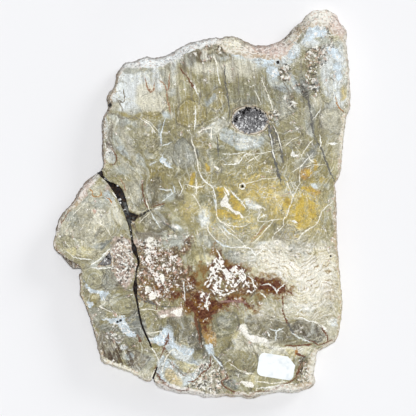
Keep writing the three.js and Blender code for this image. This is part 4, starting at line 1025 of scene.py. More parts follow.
for level, (veins, layer_count) in VEIN_LEVELS.items():
    lines = [(colour, width / 2, smooth_line(points)) for colour, width, points in veins]
    layers = [[] for _ in range(layer_count)]
    for colour, half, line in lines:
        clear = [least_gap(line, layer) for layer in layers]
        best = next((i for i, gap in enumerate(clear) if gap > VEIN_ROOM), int(np.argmax(clear)))
        layers[best].append((colour, half, line))
    for number, layer in enumerate(layers):
        across, closest = np.full(count, 9.0), np.full(count, 99.0)
        tint = np.zeros((count, 4))
        for colour, half, line in layer:
            close = near_box(vein_places, line, 2 * half + 4)
            distance, nearest, side = to_segments(vein_places[close], line[:-1], line[1:])
            along = (nearest + 0.5) / (len(line) - 1)
            taper = np.clip(4 * np.minimum(along, 1 - along) + 0.45, 0, 1)
            better = distance < closest[close]
            part = close[better]
            closest[part] = distance[better]
            across[part] = (side * distance / (half * taper))[better]
            tint[part, :3] = linear(VEIN_COLOURS[colour])
            tint[part, 3] = np.clip((2 * half + 1.2 * cell[part] - distance[better]) / cell[part], 0, 1)
        add_field(f"{level} {number}", np.clip(across, -9, 9))
        add_colours(f"{level} {number} colour", tint)

# Colours of the rough rim, by place along it, in the same soft patches.
RIM_CLOUDS = [
    ("tan", 1, 0, 0, 400, 400), ("frost", 1, -30, 98, 34, 7, 12), ("frost", 0.9, -2, 108, 18, 4, 8),
    ("cream", 1, 21, 108, 8, 6), ("bone", 0.8, 30, 104, 5, 4), ("pink", 1, 46, 104, 14, 6),
    ("ash", 0.85, 58, 113, 7, 3, 45), ("bone", 0.8, 60, 109, 4, 4, 45), ("ivory", 1, 80, 126, 12, 6),
    ("pink", 0.9, 91, 120, 6, 8, 20), ("ash", 0.7, 66, 121, 5, 2.4, 50), ("bone", 0.9, 97, 90, 4, 26),
    ("cream", 0.8, 96, 40, 5, 24), ("smoke", 0.6, -60, 80, 4, 8, -20), ("smoke", 0.8, -65, 60, 4, 10),
    ("smoke", 0.7, -66, 38, 3, 12), ("pink", 0.9, -76, 12, 11, 5, 45), ("fog", 0.7, -71, 18, 4, 4),
    ("smoke", 0.9, -96, -16, 4, 14), ("smoke", 1, -88, -38, 8, 5, -30), ("tan", 0.7, -80, -60, 4, 16),
    ("smoke", 0.7, -73, -84, 4, 12, 10), ("cream", 0.95, -52, -110, 18, 5, -22),
    ("web white", 1, -20, -124, 14, 5, -8), ("web white", 1, 2, -129, 12, 4), ("bone", 0.8, 30, -129, 8, 4),
    ("ivory", 1, 54, -126, 16, 5), ("bone", 1, 76, -110, 4, 12), ("bone", 0.8, 84, -95, 8, 4, 25),
    ("straw", 0.7, 92, -60, 4, 24),
]

# Lines that run on over the rim: the mineral, the full width and the points, in millimetres.
RIM_LINES = [
    ("rust", 1.6, [(-29.7, -113), (-28, -117.6), (-24, -120.6), (-20.5, -122.6), (-14.7, -124.4),
        (-9.7, -123.4), (-9, -119)]),
    # painted shadow: the umber line from (-96, -33) to (-82, -41) stands for the shadow under the step at
    # the lower left
    ("rust", 1.4, [(13.6, -118), (14, -121), (18, -123.6), (24, -126.4), (28, -127.4), (31.5, -128.4),
        (34.6, -125.6)]), ("umber", 1.8, [(-96, -33), (-92, -35.6), (-87, -38.6), (-82, -41)]),
    ("umber", 1, [(-66.4, 62), (-66.6, 50), (-66.4, 34)]),
    ("rust", 1.2, [(36, -125), (45, -124.4), (50, -122.6), (54, -120.4)]),
    ("umber", 1, [(-62, 76), (-64, 68), (-62.6, 62)]), ("umber", 1.2, [(55, 110), (59, 113.4), (64, 118)]),
    ("umber", 1, [(-79, 11), (-85, 3), (-91, -6), (-95.6, -14)]),
]

# How far the rind's own colour runs in over the polished face: millimetres, then the patch.
RIND_REACHES = [
    (0.4, 0, 0, 400, 400), (3, -40, 96, 18, 5, 4), (3, -4, 108, 16, 5, 8), (5.5, 21, 106, 8, 8),
    (5, 33, 102, 6, 5), (5.5, 48, 103, 10, 7), (2.4, 58, 110, 5, 8), (5, 82, 124, 9, 7),
    (5, 91, 118, 6, 8, 20), (3, -78, 8, 14, 8, 45), (1.4, -95, -20, 5, 14), (1.8, -22, -122, 12, 5, -12),
    (1.4, 2, -127, 10, 4), (1.6, 30, -127, 8, 4), (3.4, 62, -120, 16, 7), (4, 74, -110, 5, 12),
    (2, -52, -106, 18, 6, -22), (1.4, 94, 40, 5, 40), (1.4, 90, -40, 5, 40),
]

# Small open pits, painted near black inside as their shade: the middle and the radius, in millimetres.
PITS = [
    (50.6, 94.6, 1.1), (-61.4, 66, 1), (26.9, 11.8, 0.8), (-56.4, -78.6, 0.7), (-54.1, -77.7, 0.7),
    (85.8, -34.6, 0.6),
]
to_pit = np.min([np.hypot(*(drawn - (x, y)).T) - radius for x, y, radius in PITS], 0)
add_field("pits", np.clip(to_pit, -5, 5))

# How far a place is from the open fracture's bank, and from the round hollow's mouth, for their stains
# and for the painted shade inside the fracture.
to_bank = np.full(count, 20.0)
for line in (FRACTURE, FRACTURE_FOOT, FRACTURE_POCKET):
    line = smooth_line(line)
    close = near_box(drawn, line[:, :2], 12)
    distance, nearest, _ = to_segments(drawn[close], line[:-1, :2], line[1:, :2])
    to_bank[close] = np.minimum(to_bank[close], distance - line[nearest, 2])
add_field("fracture", to_bank)
vug_low, vug_high = (np.array(corner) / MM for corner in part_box("round_hollow_quartz"))
vug_middle, vug_reach = (vug_low + vug_high) / 2, (vug_high - vug_low) / 2
vug_out = np.hypot(*((rough_places - vug_middle[:2]) / vug_reach[:2]).T)
add_field("round_hollow", (vug_out - 1) * vug_reach[:2].mean())

# The rind: how far a place on the polished face lies from the stone's edge, less how far the rind's
# own colour runs in there. On the rim itself it is below zero.
flat_edge = {
    vertex
    for edge in slab_mesh.edges
    if edge.use_edge_sharp
    for vertex in edge.vertices
    if corners[vertex, 2] > face_z / MM - 0.01 and to_bank[vertex] > 1.2 and vug_out[vertex] > 1.3
}
edge_tree = KDTree(len(flat_edge))
for vertex in flat_edge:
    edge_tree.insert((*drawn[vertex], 0), vertex)
edge_tree.balance()
rind_depth = np.array([edge_tree.find((x, y, 0))[2] for x, y in drawn])
rind_reach = np.zeros(count)
for reach, *patch in RIND_REACHES:
    rind_reach = np.maximum(rind_reach, reach * patch_weight(*patch))
below = face_z / MM - corners[:, 2]
add_field("rind", np.where(to_pit < 0.8, 5, np.where(below > 0.01, -below - 2, rind_depth - rind_reach)))

rim = np.zeros((count, 4))
for mineral, strength, *patch in RIM_CLOUDS:
    rim = laid_over(rim, mineral, strength * patch_weight(*patch))
for mineral, width, points in RIM_LINES:
    line = smooth_line(points)
    close = near_box(vein_places, line, width)
    distance = to_segments(vein_places[close], line[:-1], line[1:])[0]
    weight = 0.85 * np.clip(1.2 - 1.6 * distance / width, 0, 1)
    rim[close] = laid_over(rim[close], mineral, weight)
add_colours("rim", rim)


# ---- Slab: its material ------------------------------------------------------
# Chalcedony with iron stains, glossy where it is polished, dull on the sawn back and rough on the rim.
# The fields above say where each mineral lies. The shader adds what is finer than the mesh: the ragged
# edges of banks and veins, grain, specks, threads and cracks.


class Value:
    """A number that nodes work out for each place on a surface. It can be used in sums."""

    def __init__(self, recipe, socket):
        self.recipe, self.socket = recipe, socket

    def __add__(self, other):
        return self.recipe.math("ADD", self, other)

    def __sub__(self, other):
        return self.recipe.math("SUBTRACT", self, other)

    def __rsub__(self, other):
        return self.recipe.math("SUBTRACT", other, self)

    def __mul__(self, other):
        return self.recipe.math("MULTIPLY", self, other)

    def __abs__(self):
        return self.recipe.math("ABSOLUTE", self)

    __radd__, __rmul__ = __add__, __mul__

    def rise(self, low, high):
        """0 before low, 1 after high, and smooth between. Low may be the greater."""
        inputs = {"Value": self, "From Min": low, "From Max": high}
        return self.recipe.number("MapRange", inputs, "Result", interpolation_type="SMOOTHSTEP")

    def spread(self, low, high):
        """What runs from 0 to 1, made to run from low to high."""
        return self * (high - low) + low

    def line(self, level, half_width):
        """A thin line where the value passes a level: 1 on the line, 0 from a half width on."""
        return abs(self - level).rise(half_width, 0.0)


class Recipe:
    """Builds a material's nodes: its base colour is laid down in coats, one over another."""

    def __init__(self, name, colours):
        self.material = bpy.data.materials.new(name)
        self.material.use_nodes = True
        self.tree = self.material.node_tree
        self.shader = self.tree.nodes["Principled BSDF"]
        self.place = self.tree.nodes.new("ShaderNodeTexCoord").outputs["Object"]
        self.colours = {colour: (*linear(value), 1) for colour, value in colours.items()}

    def feed(self, made, inputs):
        for name, value in inputs.items():
            value = value.socket if isinstance(value, Value) else value
            if isinstance(value, bpy.types.NodeSocket):
                self.tree.links.new(value, made.inputs[name])
            else:
                made.inputs[name].default_value = value

    def node(self, kind, inputs, output, **settings):
        made = self.tree.nodes.new("ShaderNode" + kind)
        for setting, value in settings.items():
            setattr(made, setting, value)
        self.feed(made, inputs)
        return made.outputs[output]

    def number(self, *call, **settings):
        """A node whose output is a number."""
        return Value(self, self.node(*call, **settings))

    def vector(self, operation, inputs):
        """A sum on colours or places."""
        return self.node("VectorMath", inputs, "Vector", operation=operation)

    def field(self, name):
        return self.number("Attribute", {}, "Fac", attribute_name=name)

    def painted(self, name):
        return self.node("Attribute", {}, "Color", attribute_name=name)

    def math(self, operation, *values):
        return self.number("Math", dict(enumerate(values)), 0, operation=operation)

    def noise(self, length, detail=3.0, rough=0.55, twist=0.0, place=None):
        """Smooth noise about 0.5 over a length in millimetres."""
        inputs = {
            "Vector": place or self.place, "Scale": 1000 / length, "Detail": detail, "Roughness": rough,
            "Distortion": twist,
        }
        return self.number("TexNoise", inputs, "Fac")

    def thread(self, length, twist=1.0, place=None):
        """Wandering lines: 1 on their middle, and less with distance from it."""
        return 1 - abs(self.noise(length, 3, 0.55, twist, place) - 0.5) * 8

    def stretched(self, turn, across, along, shift=0.0):
        """Places turned by degrees, with lengths made longer one way than the other."""
        inputs = {
            "Vector": self.place, "Rotation": (0, 0, math.radians(turn)), "Location": (shift, shift, shift),
            "Scale": (across, along, across),
        }
        return self.node("Mapping", inputs, "Vector", vector_type="TEXTURE")

    def cells(self, length, place, output="Distance", **settings):
        inputs = {"Vector": place, "Scale": 1000 / length}
        return self.node("TexVoronoi", inputs, output, **settings)

    def lumps(self, length, place):
        """Distance from the middle of rounded cells, each about a length wide in millimetres."""
        return Value(self, self.cells(length, place))

    def seams(self, length, place):
        """Distance from the seams between such cells."""
        return Value(self, self.cells(length, place, feature="DISTANCE_TO_EDGE"))

    def tints(self, length, place):
        """A number between 0 and 1 for each of such cells, the same all over the cell."""
        return self.number("SeparateColor", {0: self.cells(length, place, "Color")}, 0)

    def hue(self, colour):
        return self.colours[colour] if isinstance(colour, str) else colour

    def over(self, below, above, weight):
        """One colour laid over another by weight."""
        mix = self.tree.nodes.new("ShaderNodeMix")
        mix.data_type = "RGBA"
        self.feed(mix, {0: weight, 6: self.hue(below), 7: self.hue(above)})
        return mix.outputs[2]

    def toned(self, colour, value):
        """A colour made lighter or darker by a value round 1."""
        return self.vector("SCALE", {0: colour, "Scale": value})

    def coat(self, colour, weight):
        self.base = self.over(self.base, colour, weight)

    def tone(self, value):
        self.base = self.toned(self.base, value)


MINERALS |= {
    "speck pink": (206, 178, 162), "blood": (100, 60, 46), "night": (56, 56, 62), "black": (38, 33, 31),
    "white": (246, 246, 240), "blue white": (222, 231, 240), "brown": (116, 76, 56), "dark": (92, 89, 82),
    "gravel dark": (88, 80, 72), "gravel light": (240, 238, 232), "gravel mid": (172, 168, 160),
    "bed brown": (158, 132, 92), "thread": (232, 228, 206), "bistre": (84, 66, 52),
    "blister": (200, 208, 212), "gilt": (208, 184, 96), "gilt dark": (184, 158, 88),
    "lemon": (224, 202, 120), "bronze": (142, 108, 58), "slate": (132, 133, 130), "milk": (216, 219, 213),
}

wood = Recipe("petrified_wood", MINERALS)
noise_of, field, coat, over = wood.noise, wood.field, wood.coat, wood.over
grit, fine, small = noise_of(0.8, 1), noise_of(1.3, 2), noise_of(2.4, 3)
mid, wide = noise_of(4.6, 4), noise_of(13, 4)
aside = wood.stretched(35, 1, 1, 0.31)
other_mid, other_wide = noise_of(4.2, 4, 0.6, 0.5, aside), noise_of(11, 5, 0.6, 0.5, aside)
sway = wood.node("TexNoise", {"Vector": wood.place, "Scale": 160.0, "Detail": 3.0}, "Color")
bent = wood.vector("ADD", {0: wood.place, 1: wood.toned(sway, 0.006)})

# mottling: marbled forms with crisp banks, each with a thin darker line round it
wood.base = wood.painted("ground")
lively = 1 - field("calm")
wood.tone(lively * (mid - 0.5) * 0.4 + 1)
for colour, line, amount, length, bank, turned in (
    ("milk", "drab", 0.26, 9.0, 0.58, None), ("drab", "thread", 0.34, 7.0, 0.57, aside),
    ("khaki", "milk", 0.3, 5.0, 0.57, None), ("milk", "char", 0.3, 4.2, 0.6, aside),
    ("slate", "milk", 0.3, 3.4, 0.59, bent), ("web white", "drab", 0.34, 2.6, 0.66, None),
):
    marbling = noise_of(length, 4, 0.62, 0.9, turned)
    amount = lively * amount
    coat(colour, marbling.rise(bank, bank + 0.03) * amount)
    coat(line, abs(marbling - (bank - 0.004)).rise(0.02, 0.004) * amount * small.rise(0.4, 0.6))

# strokes along the wood's grain
slow = wood.vector("MULTIPLY", {0: wood.place, 1: (0.16, 0.16, 0)})
grain_height = wood.node("CombineXYZ", {2: field("across_grain") * MM}, 0)
along_grain = wood.vector("ADD", {0: slow, 1: grain_height})
broad, thin = noise_of(3.0, 3, 0.6, 0.15, along_grain), noise_of(1.2, 3, 0.6, 0.1, along_grain)
coat("milk", broad.rise(0.56, 0.61) * lively * 0.45)
coat("drab", broad.rise(0.44, 0.38) * lively * 0.4)
coat("web white", thin.rise(0.62, 0.66) * other_mid.rise(0.4, 0.55) * lively * 0.55)
coat("char", thin.rise(0.37, 0.33) * mid.rise(0.4, 0.55) * lively * 0.5)

# pale and dark wisps that wander through the whole stone
coat("thread", wood.thread(9, 1.2).rise(0.7, 0.95) * other_wide.rise(0.45, 0.55) * 0.5)
coat("drab", wood.thread(8, 0.9, aside).rise(0.7, 0.95) * wide.rise(0.45, 0.55) * 0.45)

# fibres that run in from the rind
fibre = noise_of(1, 4, 0.7, 0.25, wood.stretched(6, 1.3, 16))
streak = noise_of(1, 3, 0.6, 0.2, wood.stretched(6, 3.2, 34))
coat("smoke", streak.rise(0.46, 0.36) * field("fibres") * 0.55)
coat("bone", streak.rise(0.56, 0.66) * field("fibres") * 0.4)
coat("milk", fibre.rise(0.52, 0.66) * field("fibres") * 0.6)
coat("drab", fibre.rise(0.48, 0.34) * field("fibres") * 0.6)

# rings of the egg-shaped cells
rings = field("rings") + small.spread(-0.12, 0.12) + mid.spread(-0.1, 0.1)
ring_wave = wood.math("SINE", rings * 30)
wood.tone(ring_wave * rings.rise(1.04, 0.94) * other_mid.rise(0.35, 0.6) * 0.09 + 1)
coat("char", rings.line(1, 0.07) * other_mid.rise(0.4, 0.56) * 0.5)
coat("thread", rings.line(0.86, 0.05) * mid.rise(0.45, 0.6) * 0.4)

# swirling threads of the golden middle, as contours of a slow noise
swirls = field("swirls")
swirl = wood.math("PINGPONG", noise_of(24, 2.5, 0.5, 1.8) * 26, 0.5)
coat("lemon", swirl.rise(0.34, 0.5) * swirls * wide.rise(0.4, 0.6) * 0.7)
coat("thread", swirl.rise(0.14, 0.02) * swirls * mid.rise(0.36, 0.6) * 0.9)
coat("umber", swirl.line(0.24, 0.07) * swirls * other_mid.rise(0.42, 0.62) * 0.5)

# curls and eyes, as closed contours of a slow noise
curls = field("curls")
curl = wood.math("PINGPONG", noise_of(8, 2.5, 0.5, 1.4) * 9, 0.5)
coat("drab", curl.line(0.3, 0.09) * curls * other_mid.rise(0.42, 0.6) * 0.5)
coat("bone", curl.rise(0.13, 0.02) * curls * mid.rise(0.4, 0.58) * 0.5)
coat("ochre", curl.rise(0.44, 0.5) * curls * other_wide.rise(0.5, 0.64) * 0.6)
wood.tone(curls * (other_mid - 0.5) * 0.5 + 1)

# rounded lumps with darker seams between them
lumps = field("lumps")
lump, seam = wood.lumps(9.0, bent), wood.seams(9.0, bent)
wood.tone(lumps * lump.rise(0.0, 0.6).spread(0.1, -0.12) + 1)
coat("char", seam.rise(0.07, 0.0) * lumps * other_mid.rise(0.4, 0.58) * 0.6)

# wavy beds of cream and brown
beds = field("beds")
bed_level = field("bed_height") + noise_of(17, 2, 0.5).spread(-9, 9) + noise_of(5, 2, 0.5).spread(-2.5, 2.5)
bed = wood.math("PINGPONG", bed_level * 0.3, 0.5)
bed_line = wood.math("PINGPONG", bed_level * 0.83, 0.5)
coat("ivory", beds * small.rise(0.3, 0.5) * 0.7)
coat("straw", beds * wide.rise(0.5, 0.66) * 0.45)
coat("web white", bed.rise(0.3, 0.42) * beds * other_mid.rise(0.4, 0.52) * 0.85)
coat("sand", bed_line.rise(0.2, 0.04) * beds * mid.rise(0.42, 0.56) * 0.6)
coat("bed brown", bed.rise(0.1, 0.02) * beds * other_mid.rise(0.38, 0.56) * 0.9)

# dark bands of the lower left
coat("bistre", noise_of(1, 3, 0.6, 0.3, wood.stretched(24, 1.9, 12)).rise(0.5, 0.58) * field("bands") * 0.75)

# fine white cracks
crack_amount = field("crackle") * noise_of(9, 2).rise(0.46, 0.6)
for length, width in ((11.0, 0.02), (6.0, 0.022)):
    coat("white", wood.seams(length, bent).rise(width, width * 0.3) * crack_amount)

# iron-stained middle: brown earth, red iron, then pale specks of many sizes and the bold white web
iron_bank = mid.spread(-4, 4) + small.spread(-4, 4)
tiny = noise_of(1.5, 3, 0.65, 0.5, aside)
earth = (field("earth") + iron_bank).rise(-1.2, 1.2)
earth_colour = over("umber", "drab", mid.rise(0.4, 0.6))
earth_colour = over(earth_colour, "rust", other_mid.rise(0.44, 0.62) * 0.7)
earth_colour = over(earth_colour, "blood", tiny.rise(0.47, 0.38) * 0.9)
earth_colour = over(earth_colour, "tan", fine.rise(0.53, 0.62) * 0.8)
coat(earth_colour, earth * 0.95)
coat("bronze", (field("rust") + iron_bank).rise(-4.5, -1.0) * other_mid.rise(0.42, 0.55) * 0.7)
iron = (field("rust") + iron_bank).rise(-1.0, 1.6)
iron_colour = over("rust", "blood", tiny.rise(0.56, 0.44))
iron_colour = over(iron_colour, "bronze", other_mid.rise(0.5, 0.6))
coat(iron_colour, iron)
lagoon = (field("lagoon") + iron_bank).rise(-0.4, 0.8)
coat(over("olive", "bronze", mid.rise(0.45, 0.62)), lagoon * 0.75)
specks = field("specks")
thick = other_mid.spread(-2.1, 2.1) + wide.spread(-0.9, 0.9) + specks
for length, size, colour, least in (
    (4.2, 0.4, "speck pink", 0.5), (1.8, 0.36, "gravel mid", 0.3), (5.2, 0.32, "web white", 0.8),
    (2.6, 0.3, "web white", 0.5), (1.4, 0.32, "web white", 0.4),
):
    speck = wood.lumps(length, bent) - (fine - 0.5) * 0.7
    coat(colour, speck.rise(size, size - 0.08) * thick.rise(least, least + 0.3) * 0.9)
coat("web white", (tiny + (fine - 0.5) * 0.5).rise(0.46, 0.5) * thick.rise(1.2, 1.55) * 0.85)
web_amount = field("web") + small.spread(-0.25, 0.25)
shards = [
    wood.tints(length, wood.stretched(turn, 1, stretch))
    for length, turn, stretch in ((1.2, -40, 2.6), (1, 42, 3.2), (1.7, 8, 1.3))
]
coat("blood", web_amount.rise(0.3, 0.7) * shards[2].rise(0.3, 0.26) * 0.6)
for shard, share in zip(shards, (0.76, 0.8, 0.85)):
    coat("web white", shard.rise(share, share + 0.01) * web_amount.rise(0.35, 0.5) * mid.rise(0.42, 0.46))

# grains of broken wood, in a darker mud
grain, grain_seam = wood.tints(1.15, bent), wood.seams(1.15, bent)
grains = (field("grains") + mid.spread(-0.9, 0.9)).rise(0.3, 0.6)
coat("gravel dark", mid.rise(0.5, 0.62) * grains * 0.2)
wood.tone(grains * (grain - 0.5) * 0.8 + 1)
coat("bistre", grain_seam.rise(0.14, 0.0) * grains * 0.5)
coat("gravel light", grain.rise(0.72, 0.74) * grains * 0.8)
coat("speck pink", grain.rise(0.4, 0.42) * grain.rise(0.54, 0.52) * grains * 0.5)
coat("char", grain.rise(0.14, 0.12) * grains * 0.7)

# islands of chalcedony and opal
bank = mid.spread(-2.6, 2.6) + fine.spread(-1.4, 1.4)
chalcedony = (field("chalcedony") + bank).rise(-0.3, 0.3)
chalcedony_colour = over("ice", "blister", other_mid.rise(0.4, 0.56))
chalcedony_colour = over(chalcedony_colour, "web white", small.rise(0.55, 0.64))
coat(chalcedony_colour, chalcedony * 0.92)
small_bank = small.spread(-1.1, 1.1) + fine.spread(-0.6, 0.6)
gilt = (field("gilt") + small_bank + mid.spread(-2, 2)).rise(-0.8, 0.8)
gilt = gilt * fine.rise(0.3, 0.55).spread(0.35, 0.85)
coat(over("gilt", "gilt dark", other_mid.rise(0.45, 0.6)), gilt)
beads = wood.lumps(1.7, bent)
coat("lemon", beads.rise(0.46, 0.7) * swirls * other_wide.rise(0.42, 0.58) * 0.6)
coat("khaki", beads.rise(0.3, 0.1) * swirls * mid.rise(0.4, 0.55) * 0.55)
opal_colour = over("ivory", "web white", mid)
coat(opal_colour, (field("opal") + small_bank * 0.8 + (mid - 0.5)).rise(-0.2, 0.3) * 0.94)

# veins, which wander and thin out along their way
wander = (fine - 0.5) * 4 + (small - 0.5) * 3
thinning = (mid - 0.5) * 2.8
for level, (_, layer_count) in VEIN_LEVELS.items():
    for number in range(layer_count):
        across = abs(field(f"{level} {number}") + wander) + thinning
        name = f"{level} {number} colour"
        near = wood.number("Attribute", {}, "Alpha", attribute_name=name)
        coat(wood.painted(name), across.rise(1.4, 0.75) * near * small.rise(0.3, 0.5).spread(0.45, 1.0))

# hair-thin threads and grit at the finest scale
hairs = wood.thread(3.2, 1.5).rise(0.5, 0.95) * 0.12 - wood.thread(2.8, 1.2, aside).rise(0.5, 0.95) * 0.15
wood.tone(hairs + (grit - 0.5) * 0.56 + (fine - 0.5) * 0.2 + (thin - 0.5) * 0.7 + 1)
wood.base = wood.toned(wood.node("Gamma", {0: wood.base, 1: 1.2}, 0), 1.02)

# rind, hollow, fracture and sawn back
height = wood.number("SeparateXYZ", {0: wood.place}, 2) * (1 / MM)  # in millimetres
face_height = face_z / MM
below_face = height.rise(face_height - 0.03, face_height - 0.12)
rim_tone = (noise_of(2.2, 5, 0.7) - 0.5) * below_face.spread(0.7, 1.3) + 1
rim_colour = wood.toned(wood.painted("rim"), rim_tone)
rim_colour = over(rim_colour, "gravel light", grain.rise(0.6, 0.64) * 0.6)
rim_colour = over(rim_colour, "gravel dark", grain.rise(0.22, 0.18) * below_face.spread(0.25, 0.5))
rim_colour = over(rim_colour, "speck pink", grain.rise(0.4, 0.43) * (1 - grain.rise(0.5, 0.53)) * 0.6)
in_rind = (field("rind") + mid.spread(-4, 4) + fine.spread(-2, 2)).rise(0.8, -0.8)
coat(rim_colour, in_rind)
# painted shade: the rim is darkened below about 9 to 12 mm up, by the outline amounts
coat("bistre", below_face * height.rise(11.6, 8.6) * field("outline") * 0.6 * height.rise(0.0, 0.3))
hollow = field("round_hollow") + small.spread(-1.2, 1.2)
coat("char", hollow.rise(3.4, 0.6) * field("collar") * 0.6)
coat(over("bone", "tan", mid.rise(0.44, 0.56)), hollow.rise(1.0, 0.5) * small.rise(0.36, 0.52) * 0.9)
fracture = field("fracture")
in_fracture = fracture.rise(1.1, 0.5) * below_face
coat("bistre", (fracture + fine.spread(-1, 1)).rise(0.25, -0.05) * 0.7)
# painted shade: the inside of each pit is painted near black
coat("black", (field("pits") + small.spread(-1.2, 1.2)).rise(0.35, -0.1) * 0.95)
# painted shade: the open fracture's inside is painted near black, with brown specks and grey chalcedony
inside_shade_and_stone = over("night", "black", mid.rise(0.42, 0.56))
inside_shade_and_stone = over(inside_shade_and_stone, "bistre", tiny.rise(0.5, 0.62))
inside_shade_and_stone = over(inside_shade_and_stone, "steel", field("blue inside") * small.rise(0.4, 0.55))
coat(inside_shade_and_stone, in_fracture)
sawn = height.rise(0.12, 0.03)
coat("pearl", sawn * 0.3)
wood.feed(wood.shader, {"Base Color": wood.base})

dull = wood.math("MAXIMUM", below_face, sawn)
gloss = mid.spread(0.2, 0.34)
rough = gloss + dull * (0.82 - gloss) - in_fracture * 0.45
relief = noise_of(1.3, 5, 0.7) + noise_of(0.5, 2) * 0.35
saw_path = {"Vector": wood.stretched(24, 1, 1), "Scale": 120.0, "Distortion": 1.5, "Detail": 2.0}
saw_marks = wood.number("TexWave", saw_path, "Fac")
relief = relief * dull.spread(0.012, 1.0) + saw_marks * sawn * 0.12
bump = wood.tree.nodes.new("ShaderNodeBump")
wood.feed(bump, {"Strength": 0.9, "Distance": 0.5 * MM, "Height": relief})
wood.feed(wood.shader, {"Roughness": rough, "Normal": bump.outputs["Normal"]})
slab_mesh.materials.append(wood.material)


# ---- Quartz crusts -----------------------------------------------------------
# Two hollows are lined with small six-sided quartz points, grown inwards from a skin of chalcedony on
# their walls. Each crust is one piece: the frame's lining with the points set into it.

# Painted shade and painted light on the crusts, with darker and paler points of their own: where a
# crust is darker, as in the shade under the round hollow's upper wall, or paler, as where light falls
# on its lower right: x, y, reach and change of tone, in millimetres.
QUARTZ_SHADE_LIGHT_AND_TONES = [
    (27, 61.5, 2.2, -0.9), (31, 65, 2.4, -0.9), (29, 63.5, 2, -0.7), (22.3, 56.4, 1.5, -1.2),
    (37, 64, 1.7, -0.9), (40, 62, 1.7, -1.0), (42.5, 60.5, 1.4, -0.6), (34, 66, 1.4, -0.8),
    (27.4, 52.5, 2.2, 0.6), (31.5, 55.3, 1, -0.9), (40.5, 54, 3, 0.45), (41.5, 49, 2.6, 0.5),
    (38.5, 47.5, 2, 0.4), (44, 55, 1.4, -0.7), (32, 47, 1.5, -0.5), (28, 48, 1.5, -0.3),
    (24, 50.5, 2, 0.25), (27.6, 55, 0.9, -0.7), (36.5, 53, 2.2, -0.25), (30, 57, 1.4, 0.35),
    (-67, -36.5, 2.5, 0.5), (-64, -33, 1.6, -0.5), (-62, -36, 1.6, -0.4), (-66, -40, 1.4, -0.5),
    (-69, -39.5, 1.6, 0.3),
]
LIP_DEPTH = 0.2 * MM  # how far down the bare upper edge of a lining reaches
LIP_SHARE = 0.96  # of the way from the middle of the round hollow to its lining's outside


def crystal(bm, place, lean, width, length, turn):
    """A six-sided point of quartz that stands on a place, with a fifth of its length sunk in."""
    stand = lean.to_track_quat("Z", "Y").to_matrix().to_4x4() @ Matrix.Rotation(turn, 4, "Z")
    corners = bmesh.ops.create_cone(
        bm, cap_ends=True, segments=6, radius1=width / 2, radius2=width * 0.46, depth=length,
        matrix=Matrix.Translation(place + lean * length * 0.3) @ stand,
    )["verts"]
    caps = {face for vert in corners for face in vert.link_faces if len(face.verts) == 6}
    top = max(caps, key=lambda face: face.calc_center_median().dot(lean))
    tip = bmesh.ops.poke(bm, faces=[top], offset=width * 0.45)["verts"]
    return corners + tip


quartz = Recipe("quartz", {
    "pitch": (26, 23, 24), "grey quartz": (140, 139, 141), "clear quartz": (246, 247, 247),
    "lining": (214, 206, 190), "flesh": (178, 158, 142),
})
# the tone holds the crusts' painted shade and painted light as well as their points' own tones
tone = quartz.field("tone") + quartz.noise(0.9, 2).spread(-0.75, 0.75)
tone = tone + quartz.noise(2.2, 3).spread(-0.3, 0.3)
quartz_colour = quartz.over("pitch", "grey quartz", tone.rise(-0.14, 0.3))
quartz_colour = quartz.over(quartz_colour, "clear quartz", tone.rise(0.5, 0.9))
lining_colour = quartz.over("lining", "flesh", quartz.noise(2.5, 3).rise(0.5, 0.64))
quartz_colour = quartz.over(quartz_colour, lining_colour, quartz.field("lining"))
quartz.feed(quartz.shader, {"Base Color": quartz_colour, "Roughness": 0.18})

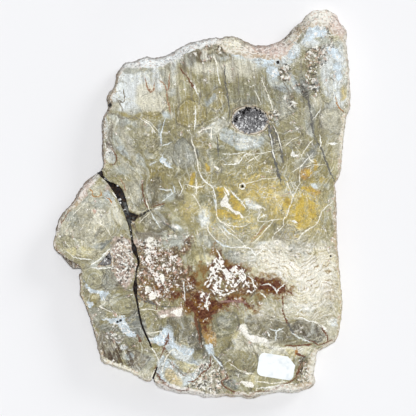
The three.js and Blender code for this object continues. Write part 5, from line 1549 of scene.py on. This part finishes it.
# Each crust's points stand about a spacing apart, in millimetres, on faces that look towards its heart.
draws = random.Random(11)
for name, spacing in (("round_hollow_quartz", 1.15), ("side_hollow_quartz", 1.1)):
    bm = bmesh.new()
    bm.from_mesh(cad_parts[name].data)
    bmesh.ops.remove_doubles(bm, verts=bm.verts[:], dist=HAIR)
    crust_low, crust_high = (np.array(corner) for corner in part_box(name))
    heart = Vector(((crust_low + crust_high) / 2)[:2].tolist() + [crust_high[2]])
    tones, linings = bm.verts.layers.float.new("tone"), bm.verts.layers.float.new("lining")
    rim_height = max(vert.co.z for vert in bm.verts)
    crust_reach = (crust_high - crust_low)[:2] / 2
    for vert in bm.verts:
        away = (vert.co - heart).xy
        out = math.hypot(away.x / crust_reach[0], away.y / crust_reach[1])
        in_lip = vert.co.z > rim_height - LIP_DEPTH and 0.5 < out < LIP_SHARE
        if name == "round_hollow_quartz" and in_lip:
            vert.co.xy = heart.xy + away * LIP_SHARE / out
    bm.normal_update()
    sites = []
    for face in bm.faces[:]:
        inward = heart - face.calc_center_median()
        if face.normal.dot(inward.normalized()) < 0.35 or face.normal.z < 0.03:
            continue
        first, second, third = (vert.co for vert in face.verts)
        for _ in range(int(face.calc_area() / (spacing * MM) ** 2 + draws.random())):
            a, b = sorted((draws.random(), draws.random()))
            sites.append((first * a + second * (b - a) + third * (1 - b), face.normal.copy()))
    for vert in bm.verts:
        vert[linings] = 1.0 if vert.co.z > rim_height - LIP_DEPTH else 0.0
        vert[tones] = 0.3
    for place, normal in sites:
        width = draws.uniform(0.9, 1.9) * MM
        jitter = Vector((draws.uniform(-0.5, 0.5), draws.uniform(-0.5, 0.5), draws.uniform(0, 0.4)))
        lean = (normal + jitter).normalized()
        length = min(width * draws.uniform(0.6, 1.1), (rim_height - place.z) * 0.8 + 0.1 * MM)
        amount = draws.uniform(0.1, 0.85)
        # painted shade and painted light: the point's tone is made darker or paler by place, over its own
        # random tone
        for x, y, reach, change in QUARTZ_SHADE_LIGHT_AND_TONES:
            gap = math.hypot(place.x / MM - x, place.y / MM - y) / reach
            amount += change * math.exp(-gap * gap)
        for vert in crystal(bm, place, lean, width, length, draws.uniform(0, 1)):
            vert.co.z = min(vert.co.z, rim_height)
            vert[tones] = amount
    crust = finished(bm, name + "_points")
    crust.data.materials.append(quartz.material)
    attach(crust, "root")
    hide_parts(name)


# ---- Glints in the fracture --------------------------------------------------
# A few clear quartz points that sprout from the fracture's walls, near the polished face. They are one
# small piece, made as the crusts' points are, with their feet sunk in the stone.

# Each point's tip and width, in millimetres, and the turn of the wall that its foot is in, in degrees.
GLINTS = [
    (-62, 15.4, 1.0, 150), (-56.7, 11.6, 1.7, 60), (-57.4, 6.0, 1.3, 200), (-53.8, 3.3, 1.7, 200),
    (-53.7, 1, 1.6, 200), (-58.6, 7.6, 0.9, 200), (-50.6, -3.4, 0.9, 200), (-46.4, -21.5, 0.9, 180),
    (-47.2, -17.5, 0.8, 180),
]
GLINT_LENGTH = 4.4 * MM
GLINT_DROP = 1.2 * MM  # from the polished face down to the tips
GLINT_SLOPE = -1.1
CLEAR_TONE = 1.2
bm = bmesh.new()
tones = bm.verts.layers.float.new("tone")
for x, y, width, turn in GLINTS:
    stem = Vector((*cos_sin(turn), GLINT_SLOPE)).normalized()
    tip = Vector((x * MM, y * MM, face_z - GLINT_DROP))
    for vert in crystal(bm, tip + stem * GLINT_LENGTH, -stem, width * MM, GLINT_LENGTH, draws.uniform(0, 1)):
        vert[tones] = CLEAR_TONE
glints = finished(bm, "fracture_glints")
glints.data.materials.append(quartz.material)
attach(glints, "root")


# ---- Paper label -------------------------------------------------------------
# A small white paper label with one corner torn off, stuck to the polished face. It is blank, and keeps
# the frame's own mesh.

paper = Recipe("label_paper", {"paper": (246, 250, 250), "paper shade": (229, 236, 240)})
paper_colour = paper.over("paper", "paper shade", paper.noise(5, 3).rise(0.5, 0.72))
paper.feed(paper.shader, {"Base Color": paper_colour, "Roughness": 0.75})
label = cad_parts["paper_label"]
label.data.materials.clear()
label.data.materials.append(paper.material)
